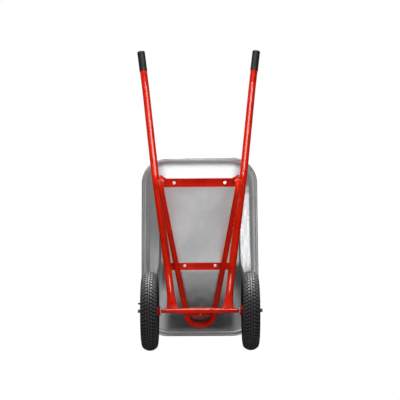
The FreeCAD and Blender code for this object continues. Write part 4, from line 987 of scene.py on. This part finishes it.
def handle_welds(side, sign):
    """Beads along the flattened end, above and below it, where it meets the beam."""
    aside = handle_frame(sign)[2]
    end = handle_point(sign, *HANDLE_POINTS[4])
    drop = (end - handle_point(sign, *HANDLE_POINTS[3])).normalized()
    square = drop.cross(aside).normalized()
    if square.z > 0:
        square = -square
    reach = beam_radius(end.x) + 0.0006
    for name, face in (("under", 1), ("over", -1)):
        line = []
        for step in range(9):
            spot = end + aside * (FLAT_HALF_WIDTH * 0.94 * (step / 4 - 1)) + square * (face * FLAT_HALF_THICK)
            across = spot - AXLE - ACROSS * spot.x
            along = across.dot(drop)
            beside = (across - drop * along).length
            line.append(spot - drop * (along + math.sqrt(max(reach ** 2 - beside ** 2, 1e-8))))
        weld_bead("weld_handle_%s_%s" % (side, name), line, HANDLE_BEAD, RED, "frame", 40 + sign + 2 * face)


def ear_weld(side, sign):
    """A bead from the leg's flattened top, by the handle, to the crossbar's rear edge."""
    along, square = ear_directions(sign)
    outward = square * sign
    ear = mirrored(EAR, sign)
    line = [ear - along * (EAR_HALF_WIDTH - 0.002) + outward * EAR_HALF_THICK,
            ear - along * 0.006 + outward * (EAR_HALF_THICK + 0.0010),
            Vector((sign * 0.166, REAR_BAR[0] - 0.0030, ear.z + 0.0015)),
            Vector((sign * 0.155, REAR_BAR[0] - 0.0012, ear.z + 0.0030))]
    weld_bead("weld_ear_" + side, line, EAR_BEAD, RED, "frame", 60 + sign)


def bar_weld(bar, side, sign, rear, front, depth):
    """A bead along a crossbar's end, in the corner that it makes with the handle tube."""
    level = FLOOR_HEIGHT - depth
    reach = math.sqrt(TUBE_RADIUS ** 2 - (level - HANDLE_POINTS[2][1]) ** 2) / math.cos(PLAN_ANGLE)
    line = [Vector((sign * (HANDLE_HALF - y * math.tan(PLAN_ANGLE) - reach), y, level))
            for y in (rear, (rear + front) / 2, front)]
    weld_bead("weld_%s_%s" % (bar, side), line, BAR_BEAD, RED, "frame", 70 + round(100 * rear) + sign)


for side, sign in SIDES:
    handle_welds(side, sign)
    ear_weld(side, sign)
    bar_weld("rear_bar", side, sign, *REAR_BAR)
    bar_weld("middle_bar", side, sign, *MIDDLE_BAR)

# -------------------- stage and light

FLOOR_HALF, FLOOR_DROP = 25.0, 0.0004
FLOOR_GREY = (0.82, 0.82, 0.82)
FLAG_CENTRE = (0, 0.76, 0.470)
FLAG_HALF_WIDTH, FLAG_HALF_HEIGHT = 0.28, 0.20
FLAG_EDGE = 6.0


def blank_nodes(owner):
    """The nodes of a material or world, with nothing in it yet."""
    parts = Nodes(owner)
    parts.tree.nodes.clear()
    return parts


def stage_card(name, corners, place, scale, material, unseen):
    """A flat card of the stage, that some kinds of rays don't see."""
    mesh = bpy.data.meshes.new(name)
    mesh.from_pydata(corners, [], [(0, 1, 2, 3)])
    mesh.materials.append(material)
    card = bpy.data.objects.new(name, mesh)
    card.location = place
    card.scale = scale
    scene.collection.objects.link(card)
    for kind in unseen:
        setattr(card, "visible_" + kind, False)


def make_floor():
    """A pale floor that shows from above only, so that the barrow can be seen from below."""
    material = bpy.data.materials.new("pale_floor")
    parts = blank_nodes(material)
    paint = parts.add("BsdfDiffuse", {"Color": FLOOR_GREY})
    below = parts.add("NewGeometry").outputs["Backfacing"]
    parts.show_mix(below, paint, parts.add("BsdfTransparent"))
    corners = [(-1, -1, 0), (1, -1, 0), (1, 1, 0), (-1, 1, 0)]
    stage_card("floor", corners, (0, 0, -FLOOR_DROP), (FLOOR_HALF, FLOOR_HALF, 1), material,
               ("shadow", "diffuse", "glossy"))


def make_flag():
    """A black card with soft edges, in front of the tray's front wall, that shows only in reflections."""
    material = bpy.data.materials.new("flag_black")
    parts = blank_nodes(material)
    place = parts.add("TexCoord").outputs["Object"]
    fade = parts.add("TexGradient", {"Vector": place}, gradient_type="QUADRATIC_SPHERE")
    steeper = parts.add("Math", operation="MULTIPLY", use_clamp=True)
    parts.feed(steeper.inputs, fade.outputs["Fac"], FLAG_EDGE)
    black = parts.add("BsdfDiffuse", {"Color": (0, 0, 0)})
    parts.show_mix(steeper.outputs[0], parts.add("BsdfTransparent"), black)
    corners = [(-1, 0, -1), (1, 0, -1), (1, 0, 1), (-1, 0, 1)]
    stage_card("flag", corners, FLAG_CENTRE, (FLAG_HALF_WIDTH, 1, FLAG_HALF_HEIGHT), material,
               ("camera", "shadow", "diffuse", "transmission"))


# Each part of the studio's glow: the direction it comes from, how narrow it is, how strong
GLOWS = (
    ((0.26, 0.50, -1), 5.0, 1.26),
    ((0, -0.584, 0.811), 10.0, 1.80),
    ((-0.52, 0, 0.854), 8.0, 0.24),
    ((0.52, 0, 0.854), 8.0, 0.20),
    ((0, -1, -0.1), 3.0, 0.35),
    ((-0.35, 0.92, -0.2), 5.0, 0.50),
)
GLOW_BASE = 0.035


def make_world():
    """Plain white to the camera, and a graded glow to the rest."""
    scene.world = bpy.data.worlds.new("studio")
    parts = blank_nodes(scene.world)
    place = parts.add("TexCoord").outputs["Generated"]
    total = GLOW_BASE
    for direction, narrow, strength in GLOWS:
        dot = parts.add("VectorMath", operation="DOT_PRODUCT")
        dot.inputs[1].default_value = Vector(direction).normalized()
        parts.link(place, dot.inputs[0])
        facing = parts.sums("MAXIMUM", dot.outputs["Value"], 0.0)
        lobe = parts.sums("MULTIPLY", parts.sums("POWER", facing, narrow), strength)
        total = parts.sums("ADD", lobe, total)
    glow = parts.add("Background", {"Strength": total})
    plain = parts.add("Background", {"Color": (1, 1, 1)})
    seen = parts.add("LightPath").outputs["Is Camera Ray"]
    parts.show_mix(seen, glow, plain, "OutputWorld")


# Each soft box: where it is, what it faces, its width and height, its power,
# whether it shows in gloss, whether it lights dull surfaces
LAMPS = (
    ("gleam", (0.35, -3.2, -0.35), (0, -0.4, 0.45), 1.6, 0.8, 230, True, False),
    ("high_gleam", (0, -3.0, 1.3), (0, 0.4, 0.1), 2.8, 1.6, 560, True, True),
    ("low_gleam", (0, -2.45, -1.35), (0, 0.45, 0.23), 0.9, 0.6, 220, True, False),
    ("spark", (0.2, -0.5, -3.0), (0, 0.1, 0.3), 0.5, 0.5, 13, True, False),
    ("key", (-0.9, -2.9, -0.8), (0, 0.0, 0.35), 2.0, 1.0, 80, True, True),
    ("fill", (0.9, -0.6, -3.2), (0, 0.1, 0.3), 1.0, 1.0, 32, False, True),
    ("top", (-1.2, -0.8, 3.0), (0, 0.1, 0.3), 1.6, 1.6, 40, False, True),
    ("side_card", (0.73, 0.20, 1.20), (0.225, 0.20, 0.385), 0.42, 0.09, 0.5, True, False),
    ("left_card", (-0.73, 0.42, 1.20), (-0.205, 0.42, 0.345), 0.28, 0.10, 0.06, True, False),
)
# Each gleam lamp, and how the names of the pieces that it lights start
GLEAMS = (
    ("gleam", ("handle_", "axle_beam", "tyre_tread", "grip_sleeve")),
    ("high_gleam", ("tyre_tread",)),
    ("low_gleam", ("handle_", "axle_beam")),
    ("spark", ("tray_bolts", "tray_nuts", "leg_hoop", "weld_")),
)


def make_lamps():
    for name, spot, target, width, height, power, glossy, dull in LAMPS:
        data = bpy.data.lights.new("lamp_" + name, "AREA")
        data.shape = "RECTANGLE"
        data.size, data.size_y = width, height
        data.energy = power
        lamp = bpy.data.objects.new("lamp_" + name, data)
        lamp.location = spot
        lamp.rotation_euler = (Vector(target) - Vector(spot)).to_track_quat("-Z", "Y").to_euler()
        lamp.visible_camera = False
        lamp.visible_glossy = glossy
        lamp.visible_diffuse = dull
        scene.collection.objects.link(lamp)


def link_gleams():
    """Each gleam lamp is aimed at some of the pieces, and lights nothing else."""
    for name, starts in GLEAMS:
        lit = bpy.data.collections.new(name + "_lit")
        for item in list(scene.objects):
            if item.name.startswith(starts):
                lit.objects.link(item)
        scene.objects["lamp_" + name].light_linking.receiver_collection = lit


make_floor()
make_flag()
make_world()
make_lamps()
link_gleams()
scene.view_settings.view_transform = "Standard"
scene.view_settings.look = "None"
